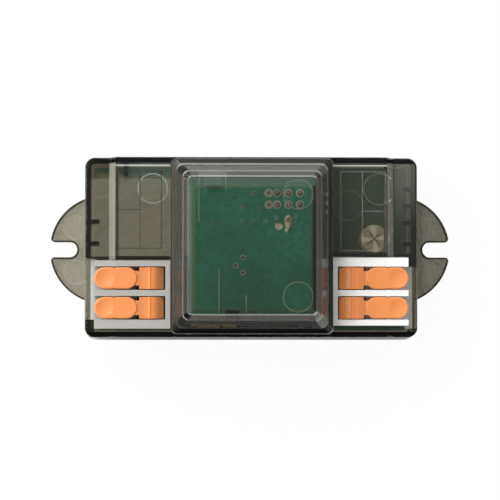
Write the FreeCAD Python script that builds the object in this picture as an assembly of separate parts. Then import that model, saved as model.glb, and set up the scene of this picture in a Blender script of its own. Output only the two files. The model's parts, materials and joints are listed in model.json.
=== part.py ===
import FreeCAD, Part

import math
import os

from FreeCAD import Vector

# A mains microwave motion sensor: a smoke-grey case with two slotted ears, a raised dome over the
# radar board, and a two-pole lever terminal at each end. Millimetres. The origin is on the mounting
# face under the middle of the case, X runs along the case, +Y is the plain long side and -Y is the
# long side beside the terminals.

# Case
WALL = 1.3                  # side walls and roofs of the cover
CASE_WIDTH = 40.2           # cover, across
CASE_CORNER = 2.2           # plan radius of the cover's corners
WING_TOP = 16.5             # flat wings, above the mounting face
END_DROP = 2.5              # how far the end strips lie below the wings
END_STRIP = 5.4             # length of the flat end strip
END_SLOPE = 1.5             # plan length of the slope between wing and end strip
EDGE_ROUND = 0.45           # outer edges of the cover
PLATE = 2.0                 # ears and rim of the base plate
FLOOR = 1.2                 # thinner floor inside the rim
LEDGE = 0.5                 # base plate beyond the cover, all round

# Mounting ears
EAR_PROUD = 8.1             # crown of the ear's arc beyond the end of the base plate
EAR_RADIUS = 12.4
SLOT_WIDTH = 3.5
SLOT_DEPTH = 4.5            # from the ear's crown to the centre of the slot's round end
MOUTH_RADIUS = 0.8
EAR_MARK_RADIUS = 2.7       # round ejector marks on the ears
EAR_MARK_Y = 5.15
EAR_MARK_INSET = 5.9        # from the ear's crown
MARK_DEPTH = 0.12

# Lip inside the cover, which carries the main board and snaps the cover on
LIP_GAP = 0.15
LIP = 1.0
STANDOFF = 2.5              # lip above the base plate's rim
SNAP_LENGTH = 6.0
SNAP_HEIGHT = 0.8
SNAP_DEPTH = 0.45
SNAP_X = 12.0
SNAP_GAP = 0.12
POST_RADIUS = 1.8
POST_PLACES = ((-3.0, -4.5), (14.2, 4.5))

# Dome over the radar board
DOME_HALF_LENGTH = 17.9
DOME_SETBACK = 0.7          # dome side from the cover's long side
DOME_CORNERS = (1.3, 1.7, 1.4, 0.9)   # plan radius at the dome's four heights
DOME_ROUNDS = (0.3, 0.4, 0.45, 0.4)   # edge radius at these heights
DOME_WALL_TOP = 21.3        # top of the dome's upright wall
SHOULDER = 1.15             # plan width of the shoulder on that wall, at the dome's ends
SIDE_SHOULDER = 1.45        # and along its long sides
SHOULDER_RISE = 0.4
DOME_SLOPE = 1.55           # plan width of the sloped band, at the ends
SIDE_SLOPE = 1.6
DOME_SLOPE_RISE = 2.6
CROWN = 1.3                 # plan width of the band round the flat top, at the ends
SIDE_CROWN = 1.4
CROWN_RISE = 0.7

# Boards
BOARD = 1.6                 # main board thickness
BOARD_GAP = 0.4             # main board to the cover's long walls
RADAR_BOARD = 1.0
RADAR_DEPTH = 3.6           # top of the radar board below the crown of the dome
RADAR_END_SPACE = 4.35      # the radar board's edges from the outside of the dome
RADAR_BACK_SPACE = 6.0
RADAR_FRONT_SPACE = 4.4
BACK_ARM = 2.3              # strip of the main board behind the open left wing
TAIL = 1.3                  # leads below the main board
DRILL_GAP = 0.1
FACE_GAP = 0.1              # clip faces to the radar board

# Board clips and ribs of the cover
CLIP_LENGTH = 3.0
CLIP_THICKNESS = 1.2
CLIP_BITE = 0.7
CLIP_NIB = 0.6
BACK_CLIP_X = -8.8
FRONT_CLIP_X = -4.4
RIB = 1.0
END_RIB_REACH = 1.9
BACK_RIB_REACH = 3.1
DOME_RIB_REACH = 1.0
RIB_LIFT = 0.3              # ribs above the main board
LEFT_END_RIBS = (5.8, 0.9)
RIGHT_END_RIBS = (13.1, 9.4, 5.6, 0.8)
BACK_RIB_SPACE = 10.1       # rib on the back wall of the left wing, from the dome
DOME_BACK_RIBS = (-11.2, -6.2)
DOME_FRONT_RIBS = (-12.8, -6.9, -1.7, 12.9)

# Terminals, each drawn for the right end and turned half a turn for the left end
LEVER_WIDTH = 4.8
LEVER_PITCH = 6.6
LEVER_SIDE_GAP = 0.22
LEVER_BELOW_WING = 0.1
THIN_RIB = 1.3
THICK_RIB = 2.0
HOUSING_LENGTH = 16.9
HOUSING_BELOW_WING = 0.5
HOUSING_FLOOR = 0.9
HOUSING_END_BAR = 1.1
HOUSING_DOME_GAP = 0.2
HOUSING_END_GAP = 0.9       # housing to the end wall of the cover
HOUSING_FRONT_GAP = 0.65    # left housing to the front wall of the cover
WIRE_RADIUS = 1.9
WIRE_CHAMFER = 0.5
WIRE_ROOF = 1.0             # plastic over the wire holes
DRUM_RADIUS = 2.75
DRUM_GAP = 0.3
DRUM_FLAT = 2.2             # flat under the drum, below its axis
CREST_STEP = 0.25           # root of the lever below the top of the drum
RIDGE_RADIUS = 0.35         # ridge across the lever, beside the drum's axis
RIDGE_OFFSET = 0.4
PIN_RADIUS = 1.0
PIN_GAP = 0.05
PIN_END_GAP = 0.1
PADDLE_LENGTH = 9.6
PADDLE_THICKNESS = 1.5
PADDLE_ROUND = 0.3
NECK_WIDTH = 3.2
NOTCH_RADIUS = 0.4
NOTCH_FROM_TIP = 4.45
DISH_RADIUS = 8.0
DISH_DEPTH = 0.25
BUMP = 0.1
BUMP_LENGTH = 0.6
BUSBAR = 0.8
BUSBAR_WIDTH = 3.6
SPRING = 0.35
SPRING_WIDTH = 3.4
SPRING_GAP = 1.35           # spring to the flat of the drum
SPRING_REACH = 4.1          # tongue's end from the leg
POCKET_GAP = 0.2            # cover opening to the right housing's back face
SKIRT = 0.8
SKIRT_BOTTOM = 8.5
CORNER_BLOCK_GAP = 0.1
WINDOW_CLEARANCE = 0.5      # wire windows above the wire holes

# Engraved tables on the wings: outer line from the wing's end, inner line from the dome, divider from
# the inner line, back from the cover's edge, row line from the back, front from the terminal's opening
GROOVE = 0.22
GROOVE_DEPTH = 0.12
LEFT_TABLE = {"outer": 0.4, "inner": 2.2, "divider": 4.75, "back": 3.1, "row": 8.7, "front": 1.8}
RIGHT_TABLE = {"outer": 0.4, "inner": 2.0, "divider": 4.8, "back": 3.3, "row": 8.8, "front": 1.3}

# Ejector marks under the roofs. On the wings: side, distance from the dome and from the back, radius
WING_MARKS = ((-1, 4.1, 7.1, 3.3), (1, 10.7, 7.1, 3.5), (1, 3.7, 10.7, 3.3))
DOME_MARK_RADIUS = 3.3
DOME_MARK_END_SPACE = 7.85
DOME_MARK_SIDE_SPACE = 8.1

# Header between the two boards
PITCH = 2.54
HEADER_X = 8.0
HEADER_EDGE_SPACE = 3.0     # header's middle from the radar board's back edge
HEADER_SPACER = 2.5
PIN_SIDE = 0.54
PIN_PROUD = 0.9
PAD_RADIUS = 0.95
PAD_THICKNESS = 0.06
EXTRA_PAD_X = 3.65
JOINT_RADIUS = 0.62
JOINT_HEIGHT = 0.55

# Box-shaped parts under the dome: length, width and height, and where they stand. An end space is a
# centre's distance from the end of the dome, a back or front space runs to the cover's inner wall
RELAY_SIZE = (10.1, 17.8, 11.9)
RELAY_END_SPACE = 9.2
RELAY_BACK_SPACE = 5.3
FILM_SIZE = (10.3, 5.2, 11.0)
FILM_END_SPACE = 9.5
FILM_FRONT_SPACE = 4.2
LOGIC_SIZE = (4.9, 3.9, 1.5)
LOGIC_X = 2.5
LOGIC_SPACE = 3.26          # chip's middle from the header
RECTIFIER = (13.3, 2.6, 4.7, 3.9, 2.6)
POWER_CHIP = (8.3, -1.6, 4.9, 3.9, 1.5)
RADAR_CHIP = (-3.0, -4.2, 4.0, 4.0, 0.9)
CHIP_LIFT = 0.1
LEG_WIDTH = 0.4
LEG_REACH = 0.6
LEG_THICKNESS = 0.2
SMALL_PART = (1.6, 0.8, 0.5)
MAIN_SMALL_PLACES = ((-2.6, 2.6), (-2.6, 5.2), (-2.6, 7.8), (14, -1.6), (14, 8.5), (14, 10.5), (14, 12.5))
RADAR_SMALL_PLACES = ((-3.0, 1.2), (-3.0, 4.0), (1.5, -2.0), (1.5, 1.0), (5.0, 1.0), (-6.0, -9.0))

# Transformer: centre X, centre Y, length and height, then its core and coil
TRANSFORMER = (4.2, -9.6, 13.0, 12.0)
CORE_LEG = 2.8
CORE_DEPTH = 4.4
BOBBIN_FOOT = 2.2
BOBBIN_DEPTH = 9.4
COIL_DEPTH = 8.8
COIL_ROUND = 1.1
COIL_GAP = 0.2

# Round parts: diameter, and height or thickness, and where they stand
VARISTOR_SIZE = (7.0, 3.4)
VARISTOR_END_SPACE = 1.6    # its face from the dome's inner end wall
VARISTOR_FRONT_SPACE = 4.0
FUSE_SIZE = (3.4, 9.0)
FUSE_END_SPACE = 5.9
FUSE_Y = -6.6
BULK_SIZE = (6.3, 6.8)
BULK_END_SPACE = 2.65       # its middle from the end of the wing
BULK_FRONT_SPACE = 0.2      # its side from the skirt behind the right terminal
FILTER_SIZE = (5.0, 7.2)
FILTER_X = -0.6
FILTER_BACK_SPACE = 5.6
LEAD_STAND = 0.9            # standing parts above the main board
SLEEVE = 0.1
BUNG = 1.2
CAN_ROUND = 0.3
VENT_MARGIN = 0.7           # pressed cross to the can's edge
VENT_ANGLES = (40, 130)

# Leads through the main board: spacings along X and Y, and how many stand along X and Y
LEAD_RADIUS = 0.3
LEAD_SPACINGS = {
    "relay": (7.5, 12.6),
    "transformer": (5.0, 7.6),
    "film_capacitor": (7.5, 0),
    "varistor": (0, 4.6),
    "fuse_resistor": (0, 2.4),
    "bulk_capacitor": (2.5, 0),
    "filter_capacitor": (2.0, 0),
}
LEAD_COUNTS = {
    "relay": (2, 2),
    "transformer": (3, 2),
    "film_capacitor": (2, 1),
    "varistor": (1, 2),
    "fuse_resistor": (1, 2),
    "bulk_capacitor": (2, 1),
    "filter_capacitor": (2, 1),
}

# Sizes worked out from the values above
DOME_HALF_WIDTH = CASE_WIDTH / 2 - DOME_SETBACK
HOUSING_INNER = DOME_HALF_LENGTH + HOUSING_DOME_GAP
HOUSING_OUTER = HOUSING_INNER + HOUSING_LENGTH
INSIDE_X = HOUSING_OUTER + HOUSING_END_GAP
INSIDE_Y = CASE_WIDTH / 2 - WALL
CASE_HALF = INSIDE_X + WALL
END_TOP = WING_TOP - END_DROP
WING_END = CASE_HALF - END_STRIP - END_SLOPE
BOARD_BOTTOM = PLATE + STANDOFF
BOARD_TOP = BOARD_BOTTOM + BOARD
TAIL_BOTTOM = BOARD_BOTTOM - TAIL
CROWN_TOP = DOME_WALL_TOP + SHOULDER_RISE + DOME_SLOPE_RISE + CROWN_RISE
RADAR_TOP = CROWN_TOP - RADAR_DEPTH
RADAR_BOTTOM = RADAR_TOP - RADAR_BOARD
RADAR_HALF_LENGTH = DOME_HALF_LENGTH - RADAR_END_SPACE
RADAR_BACK = DOME_HALF_WIDTH - RADAR_BACK_SPACE
RADAR_FRONT = RADAR_FRONT_SPACE - DOME_HALF_WIDTH
HEADER_Y = RADAR_BACK - HEADER_EDGE_SPACE
EAR_REACH = CASE_HALF + LEDGE + EAR_PROUD
EAR_CENTRE = EAR_REACH - EAR_RADIUS
SLOT_X = EAR_REACH - SLOT_DEPTH
BAY = LEVER_WIDTH + 2 * LEVER_SIDE_GAP
MIDDLE_RIB = LEVER_PITCH - BAY
PIN_BITE = MIDDLE_RIB / 4
TERMINAL_Y = -INSIDE_Y + HOUSING_FRONT_GAP + THICK_RIB + BAY + MIDDLE_RIB / 2
LEVER_YS = (TERMINAL_Y + LEVER_PITCH / 2, TERMINAL_Y - LEVER_PITCH / 2)
HOUSING_BACK = LEVER_YS[0] + BAY / 2 + THICK_RIB
HOUSING_FRONT = LEVER_YS[1] - BAY / 2 - THIN_RIB
HOUSING_TOP = WING_TOP - HOUSING_BELOW_WING
LEVER_TOP = WING_TOP - LEVER_BELOW_WING
PIVOT_X = HOUSING_INNER + HOUSING_END_BAR + DRUM_GAP + DRUM_RADIUS
PIVOT_Z = LEVER_TOP - DRUM_RADIUS
CHAMBER_INNER = HOUSING_INNER + HOUSING_END_BAR
CHAMBER_OUTER = PIVOT_X + DRUM_RADIUS + 2 * DRUM_GAP
CHAMBER_FLOOR = BOARD_TOP + HOUSING_FLOOR
WIRE_Z = CHAMBER_FLOOR + BUSBAR + WIRE_RADIUS
BAY_FLOOR = WIRE_Z + WIRE_RADIUS + WIRE_ROOF
POCKET_BACK = HOUSING_BACK + POCKET_GAP
LEFT_POCKET_BACK = 2 * TERMINAL_Y - HOUSING_FRONT + POCKET_GAP
WINDOW_FRONT = HOUSING_FRONT - POCKET_GAP - SKIRT / 2
WINDOW_BACK = HOUSING_BACK - THICK_RIB
WINDOW_HIGH = WIRE_Z + WIRE_RADIUS + WINDOW_CLEARANCE
CLIP_BOTTOM = RADAR_BOTTOM - FACE_GAP - CLIP_NIB
RIB_BOTTOM = BOARD_TOP + RIB_LIFT
TAIL_XS = (CHAMBER_INNER + BUSBAR, CHAMBER_OUTER - BUSBAR)
TAIL_RADIUS = BUSBAR * math.sqrt(0.5)
PIN_CORNER = PIN_SIDE * math.sqrt(0.5)
SNAP_LOW = PLATE + (STANDOFF - SNAP_HEIGHT) / 2
TOLERANCE = 0.01            # for picking edges by their place

# Parts placed from the walls, the terminal and the header
RELAY_Y = INSIDE_Y - RELAY_BACK_SPACE - RELAY_SIZE[1] / 2
RELAY = (RELAY_END_SPACE - DOME_HALF_LENGTH, RELAY_Y) + RELAY_SIZE
FILM_Y = FILM_FRONT_SPACE + FILM_SIZE[1] / 2 - INSIDE_Y
FILM_CAPACITOR = (FILM_END_SPACE - DOME_HALF_LENGTH, FILM_Y) + FILM_SIZE
LOGIC_CHIP = (LOGIC_X, HEADER_Y - PITCH - LOGIC_SPACE) + LOGIC_SIZE
VARISTOR_X = DOME_HALF_LENGTH - WALL - VARISTOR_END_SPACE - VARISTOR_SIZE[1] / 2
VARISTOR = (VARISTOR_X, VARISTOR_FRONT_SPACE + VARISTOR_SIZE[0] / 2 - INSIDE_Y) + VARISTOR_SIZE
FUSE_RESISTOR = (FUSE_END_SPACE - DOME_HALF_LENGTH, FUSE_Y) + FUSE_SIZE
BULK_Y = POCKET_BACK + SKIRT + BULK_FRONT_SPACE + BULK_SIZE[0] / 2
BULK_CAPACITOR = (WING_END - BULK_END_SPACE, BULK_Y) + BULK_SIZE
FILTER_CAPACITOR = (FILTER_X, INSIDE_Y - FILTER_BACK_SPACE - FILTER_SIZE[0] / 2) + FILTER_SIZE
LEADED_PARTS = {
    "relay": RELAY,
    "transformer": TRANSFORMER,
    "film_capacitor": FILM_CAPACITOR,
    "varistor": VARISTOR,
    "fuse_resistor": FUSE_RESISTOR,
    "bulk_capacitor": BULK_CAPACITOR,
    "filter_capacitor": FILTER_CAPACITOR,
}


def box(x0, x1, y0, y1, z0, z1):
    """A box between two corners, given in either order."""
    size = (abs(x1 - x0), abs(y1 - y0), abs(z1 - z0))
    return Part.makeBox(*size, Vector(min(x0, x1), min(y0, y1), min(z0, z1)))


def block(part, bottom):
    """A box from a centre, length, width and height, standing at a height."""
    x, y, length, width, height = part
    return box(x - length / 2, x + length / 2, y - width / 2, y + width / 2, bottom, bottom + height)


def rod(radius, start, end):
    """A round bar between two points."""
    path = Vector(*end).sub(Vector(*start))
    return Part.makeCylinder(radius, path.Length, Vector(*start), path)


def rounded_wire(half_x, half_y, corner, z):
    """A rounded rectangle at a height, as a closed wire."""
    slant = corner * math.sqrt(0.5)
    edges = []
    for quarter in range(4):
        turn = math.radians(90 * quarter)
        along, across = (half_x, half_y) if quarter % 2 == 0 else (half_y, half_x)
        side = [Vector(along, -(across - corner), z), Vector(along, across - corner, z)]
        middle = Vector(along - corner + slant, across - corner + slant, z)
        finish = Vector(along - corner, across, z)
        points = [turned_point(point, turn) for point in side + [middle, finish]]
        edges.append(Part.LineSegment(points[0], points[1]).toShape())
        edges.append(Part.Arc(points[1], points[2], points[3]).toShape())
    return Part.Wire(edges)


def turned_point(point, angle):
    """A point turned about the vertical axis through the origin."""
    x = point.x * math.cos(angle) - point.y * math.sin(angle)
    y = point.x * math.sin(angle) + point.y * math.cos(angle)
    return Vector(x, y, point.z)


def rounded_slab(half_x, half_y, corner, bottom, top):
    """An upright slab with a rounded rectangular plan."""
    face = Part.Face(rounded_wire(half_x, half_y, corner, bottom))
    return face.extrude(Vector(0, 0, top - bottom))


def side_profile(points, half_y):
    """A prism along Y from points in the XZ plane."""
    corners = [Vector(x, -half_y, z) for x, z in points]
    face = Part.Face(Part.makePolygon(corners + corners[:1]))
    return face.extrude(Vector(0, 2 * half_y, 0))


def joined(shapes):
    """Several shapes fused into one, with shared faces merged."""
    whole = shapes[0].multiFuse(shapes[1:]) if len(shapes) > 1 else shapes[0]
    return whole.removeSplitter()


def half_turned(shape):
    """The right terminal's piece turned half a turn to the left end."""
    turned = shape.copy()
    turned.rotate(Vector(0, TERMINAL_Y, 0), Vector(0, 0, 1), 180)
    return turned


def save(name, shape):
    """Write one sub-part."""
    shape.exportStep("parts/" + name + ".step")


def ear_slot(side):
    """The open slot of one ear, as a cutting shape."""
    end_x = side * SLOT_X
    run = box(end_x, side * (EAR_REACH + WALL), -SLOT_WIDTH / 2, SLOT_WIDTH / 2, -WALL, PLATE + WALL)
    return joined([run, rod(SLOT_WIDTH / 2, (end_x, 0, -WALL), (end_x, 0, PLATE + WALL))])


def mouth_edges(plate):
    """The upright edges where the slots meet the ears' outer arcs."""
    found = []
    for edge in plate.Edges:
        middle = edge.CenterOfMass
        upright = edge.BoundBox.ZLength > PLATE - TOLERANCE
        outer = abs(middle.x) > EAR_REACH - MOUTH_RADIUS
        if upright and outer and abs(abs(middle.y) - SLOT_WIDTH / 2) < TOLERANCE:
            found.append(edge)
    return found


def lip():
    """The upright lip inside the cover, open at the wire windows, with its snaps."""
    outer_x = INSIDE_X - LIP_GAP
    outer_y = INSIDE_Y - LIP_GAP
    corner = CASE_CORNER - WALL
    wall = rounded_slab(outer_x, outer_y, corner, PLATE, BOARD_BOTTOM)
    wall = wall.cut(rounded_slab(outer_x - LIP, outer_y - LIP, corner / 2, FLOOR, BOARD_BOTTOM + WALL))
    snaps = []
    for x in (-SNAP_X, SNAP_X):
        for side in (-1, 1):
            face = side * (outer_y - LIP / 2)
            tip = side * (outer_y + SNAP_DEPTH)
            half = SNAP_LENGTH / 2
            snaps.append(box(x - half, x + half, face, tip, SNAP_LOW, SNAP_LOW + SNAP_HEIGHT))
    return wall.multiFuse(snaps)


def base_plate():
    """Plate with ears, a thinner floor, the lip and the posts under the main board."""
    plate = rounded_slab(CASE_HALF + LEDGE, CASE_WIDTH / 2 + LEDGE, CASE_CORNER + LEDGE, 0, PLATE)
    for side in (-1, 1):
        centre = side * EAR_CENTRE
        plate = plate.fuse(rod(EAR_RADIUS, (centre, 0, 0), (centre, 0, PLATE)))
    plate = plate.removeSplitter()
    for side in (-1, 1):
        plate = plate.cut(ear_slot(side))
    plate = plate.makeFillet(MOUTH_RADIUS, mouth_edges(plate))
    hollow_x = INSIDE_X - LIP_GAP - LIP
    hollow_y = INSIDE_Y - LIP_GAP - LIP
    plate = plate.fuse(lip())
    plate = plate.cut(rounded_slab(hollow_x, hollow_y, (CASE_CORNER - WALL) / 2, FLOOR, BOARD_BOTTOM))
    wing_back = INSIDE_Y - BOARD_GAP - BACK_ARM
    top = BOARD_BOTTOM + WALL
    gap = box(hollow_x - LIP, INSIDE_X, -hollow_y, POCKET_BACK, FLOOR, top)
    left_gap = box(-hollow_x + LIP, -INSIDE_X, -hollow_y, wing_back, FLOOR, top)
    sill = box(hollow_x - LIP, CASE_HALF, WINDOW_FRONT, WINDOW_BACK, FLOOR, top)
    plate = plate.cut(gap).cut(left_gap).cut(sill).cut(half_turned(sill))
    posts = [rod(POST_RADIUS, (x, y, FLOOR / 2), (x, y, BOARD_BOTTOM)) for x, y in POST_PLACES]
    plate = plate.multiFuse(posts).removeSplitter()
    for side in (-1, 1):
        for y in (-EAR_MARK_Y, EAR_MARK_Y):
            x = side * (EAR_REACH - EAR_MARK_INSET)
            plate = plate.cut(rod(EAR_MARK_RADIUS, (x, y, PLATE - MARK_DEPTH), (x, y, PLATE + WALL)))
    return plate


def wing_profile(half_length, top, thickness):
    """Half of the cover's side outline, from its middle to its end, drawn inwards by a thickness."""
    slant = math.atan2(END_DROP, END_SLOPE)
    shift = thickness * math.tan(slant / 2)
    slope_start = WING_END - shift
    slope_end = WING_END + END_SLOPE - shift
    return [(slope_start, top), (slope_end, top - END_DROP), (half_length, top - END_DROP)]


def case_block(half_x, half_y, corner, bottom, top, thickness):
    """The wings and end strips as one block, of the outside or of the inside."""
    slab = rounded_slab(half_x, half_y, corner, bottom, top)
    right = wing_profile(half_x + WALL, top, thickness)
    left = [(-x, z) for x, z in reversed(right)]
    low = [(half_x + WALL, bottom - WALL), (-half_x - WALL, bottom - WALL)]
    return slab.common(side_profile(left + right + low, half_y + WALL))


def dome_sections(thickness):
    """Half length, half width, corner and height of the dome's sections, drawn inwards by a thickness."""
    end_insets = (0, SHOULDER, DOME_SLOPE, CROWN)
    side_insets = (0, SIDE_SHOULDER, SIDE_SLOPE, SIDE_CROWN)
    rises = (0, SHOULDER_RISE, DOME_SLOPE_RISE, CROWN_RISE)
    half_x = DOME_HALF_LENGTH - thickness
    half_y = DOME_HALF_WIDTH - thickness
    height = DOME_WALL_TOP - thickness
    sections = []
    for end_inset, side_inset, rise, radius in zip(end_insets, side_insets, rises, DOME_CORNERS):
        half_x -= end_inset
        half_y -= side_inset
        height += rise
        sections.append((half_x, half_y, radius - thickness / 2, height))
    return sections


def dome_block(thickness, bottom):
    """The dome down to a height, as its upright wall and its three rising bands."""
    sections = dome_sections(thickness)
    half_x, half_y, corner, height = sections[0]
    pieces = [rounded_slab(half_x, half_y, corner, bottom, height)]
    for low, high in zip(sections, sections[1:]):
        wires = [rounded_wire(*low), rounded_wire(*high)]
        pieces.append(Part.makeLoft(wires, True, True))
    return pieces[0].multiFuse(pieces[1:])


def rounded_dome():
    """The outside of the dome, with its four edges rounded."""
    dome = dome_block(0, WING_TOP - WALL).removeSplitter()
    for section, radius in zip(dome_sections(0), DOME_ROUNDS):
        height = section[3]
        edges = []
        for edge in dome.Edges:
            bounds = edge.BoundBox
            if abs(bounds.ZMin - height) < TOLERANCE and abs(bounds.ZMax - height) < TOLERANCE:
                edges.append(edge)
        dome = dome.makeFillet(radius, edges)
    return dome


def clip(x, edge, direction):
    """A clip that holds the radar board's edge from above and below."""
    half = CLIP_LENGTH / 2
    face = edge + direction * FACE_GAP
    bite = edge - direction * CLIP_BITE
    back = face + direction * CLIP_THICKNESS
    top = RADAR_TOP + 2 * WALL
    finger = box(x - half, x + half, face, back, CLIP_BOTTOM, top)
    stop = box(x - half, x + half, face, bite, RADAR_TOP + FACE_GAP, top)
    nib = box(x - half, x + half, face, bite, CLIP_BOTTOM, CLIP_BOTTOM + CLIP_NIB)
    return [finger, stop, nib]


def cover_ribs():
    """Upright ribs on the inner walls of the wings, ends and dome."""
    ribs = []
    for y in LEFT_END_RIBS:
        ribs.append(box(-CASE_HALF, END_RIB_REACH - INSIDE_X, y - RIB / 2, y + RIB / 2, RIB_BOTTOM, END_TOP))
    for y in RIGHT_END_RIBS:
        ribs.append(box(CASE_HALF, INSIDE_X - END_RIB_REACH, y - RIB / 2, y + RIB / 2, RIB_BOTTOM, END_TOP))
    back = INSIDE_Y - BACK_RIB_REACH
    half = RIB / 2
    rib_x = -DOME_HALF_LENGTH - BACK_RIB_SPACE
    ribs.append(box(rib_x - half, rib_x + half, CASE_WIDTH / 2, back, RIB_BOTTOM, WING_TOP))
    inside = DOME_HALF_WIDTH - WALL - DOME_RIB_REACH
    for x in DOME_BACK_RIBS:
        ribs.append(box(x - half, x + half, CASE_WIDTH / 2, inside, WING_TOP, DOME_WALL_TOP))
    for x in DOME_FRONT_RIBS:
        ribs.append(box(x - half, x + half, -CASE_WIDTH / 2, -inside, WING_TOP, DOME_WALL_TOP))
    return ribs


def pocket_skirts():
    """Walls that hang from the roof round each terminal opening."""
    skirts = []
    for side, opening in ((-1, LEFT_POCKET_BACK), (1, POCKET_BACK)):
        inner = side * (DOME_HALF_LENGTH - WALL)
        face = side * DOME_HALF_LENGTH
        back = opening + SKIRT
        skirts.append(box(inner, side * CASE_HALF, opening, back, SKIRT_BOTTOM, WING_TOP))
        skirts.append(box(inner, face, -CASE_WIDTH / 2, back, SKIRT_BOTTOM, WING_TOP))
    return skirts


def corner_block():
    """Locating block between the thick rib of the right housing and the end wall."""
    start = HOUSING_OUTER + CORNER_BLOCK_GAP
    front = HOUSING_BACK - THICK_RIB
    return box(start, CASE_HALF, front, POCKET_BACK + SKIRT, SKIRT_BOTTOM, END_TOP)


def wire_window():
    """Opening in the right end wall for the wires, open at the wall's lower edge."""
    return box(INSIDE_X - WALL, CASE_HALF + WALL, WINDOW_FRONT, WINDOW_BACK, FLOOR, WINDOW_HIGH)


def engraved_table(table, side):
    """The lines of one engraved table, as cutting shapes."""
    outer = side * (WING_END - table["outer"])
    inner = side * (DOME_HALF_LENGTH + table["inner"])
    divider = inner + side * table["divider"]
    back = CASE_WIDTH / 2 - table["back"]
    front = POCKET_BACK + table["front"]
    row = back - table["row"]
    low = WING_TOP - GROOVE_DEPTH
    high = WING_TOP + WALL
    half = GROOVE / 2
    lines = []
    for x in (outer, inner, divider):
        lines.append(box(x - half, x + half, front, back, low, high))
    for y in (front, back):
        lines.append(box(outer + side * half, inner - side * half, y - half, y + half, low, high))
    lines.append(box(outer, divider, row - half, row + half, low, high))
    return lines


def ejector_marks():
    """The shallow round marks under the roofs of the wings and the dome, as cutting shapes."""
    marks = []
    for side, end_space, back_space, radius in WING_MARKS:
        x = side * (DOME_HALF_LENGTH + end_space)
        marks.append((x, CASE_WIDTH / 2 - back_space, radius, WING_TOP - WALL))
    for side in (-1, 1):
        y = side * (DOME_HALF_WIDTH - DOME_MARK_SIDE_SPACE)
        marks.append((DOME_HALF_LENGTH - DOME_MARK_END_SPACE, y, DOME_MARK_RADIUS, CROWN_TOP - WALL))
    depth = MARK_DEPTH
    return [rod(radius, (x, y, roof - depth), (x, y, roof + depth)) for x, y, radius, roof in marks]


def top_cover():
    """The smoke cover: wings, lower end strips, dome, ribs, clips and openings."""
    outside = case_block(CASE_HALF, CASE_WIDTH / 2, CASE_CORNER, PLATE, WING_TOP, 0)
    outside = outside.makeFillet(EDGE_ROUND, roof_edges(outside))
    outside = outside.fuse(rounded_dome())
    inside = case_block(INSIDE_X, INSIDE_Y, CASE_CORNER - WALL, PLATE - WALL, WING_TOP - WALL, WALL)
    inside = inside.fuse(dome_block(WALL, PLATE))
    cover = outside.cut(inside)
    extras = cover_ribs() + pocket_skirts() + clip(BACK_CLIP_X, RADAR_BACK, 1)
    blocks = (corner_block(), half_turned(corner_block()))
    extras += clip(FRONT_CLIP_X, RADAR_FRONT, -1) + list(blocks)
    cover = cover.fuse(joined(extras).common(outside))
    roof = WING_TOP + WALL
    for side, opening, keep in ((1, POCKET_BACK, blocks[0]), (-1, LEFT_POCKET_BACK, blocks[1])):
        pocket = box(side * DOME_HALF_LENGTH, side * INSIDE_X, -INSIDE_Y, opening, BOARD_TOP, roof)
        cover = cover.cut(pocket.cut(keep))
    cover = cover.cut(wire_window()).cut(half_turned(wire_window()))
    half = SNAP_LENGTH / 2 + SNAP_GAP
    deep = INSIDE_Y - LIP_GAP + SNAP_DEPTH + SNAP_GAP
    for x in (-SNAP_X, SNAP_X):
        catch = box(x - half, x + half, -deep, deep, SNAP_LOW - SNAP_GAP, SNAP_LOW + SNAP_HEIGHT + SNAP_GAP)
        cover = cover.cut(catch)
    cuts = engraved_table(LEFT_TABLE, -1) + engraved_table(RIGHT_TABLE, 1) + ejector_marks()
    return cover.cut(joined(cuts)).removeSplitter()


def roof_edges(outside):
    """The outer edges of the wings and end strips, where they are rounded."""
    found = []
    for edge in outside.Edges:
        centre = edge.CenterOfMass
        upper = edge.BoundBox.ZMin > END_TOP - TOLERANCE
        rim = abs(centre.x) > CASE_HALF - CASE_CORNER or abs(centre.y) > CASE_WIDTH / 2 - CASE_CORNER
        if upper and rim:
            found.append(edge)
    return found


def lead_places():
    """Every lead that passes through the main board: X, Y and radius."""
    places = [(x, y, LEAD_RADIUS) for name in LEADED_PARTS for x, y in lead_grid(name)]
    places += [(x, y, PIN_CORNER) for x, y in header_places()]
    for x in TAIL_XS:
        places += [(side * x, y, TAIL_RADIUS) for side in (-1, 1) for y in LEVER_YS]
    return places


def header_places():
    """Two rows of three pins."""
    columns = [HEADER_X + step * PITCH for step in (-1, 0, 1)]
    rows = [HEADER_Y + step * PITCH / 2 for step in (-1, 1)]
    return [(x, y) for x in columns for y in rows]


def main_board():
    """The mains board, cut away under the open left wing, with its drilled holes."""
    half_y = INSIDE_Y - BOARD_GAP
    board = box(-HOUSING_OUTER, HOUSING_OUTER, -half_y, half_y, BOARD_BOTTOM, BOARD_TOP)
    wing = box(0, INSIDE_X - BOARD_GAP, POCKET_BACK + SKIRT, half_y, BOARD_BOTTOM, BOARD_TOP)
    open_front = LEFT_POCKET_BACK + SKIRT
    open_end = WALL - DOME_HALF_LENGTH
    window = box(-HOUSING_OUTER - WALL, open_end, open_front, half_y - BACK_ARM, 0, WING_TOP)
    board = board.fuse(wing).removeSplitter().cut(window)
    holes = []
    for x, y, radius in lead_places():
        holes.append(rod(radius + DRILL_GAP, (x, y, BOARD_BOTTOM - WALL), (x, y, BOARD_TOP + WALL)))
    return board.cut(Part.makeCompound(holes))


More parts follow.
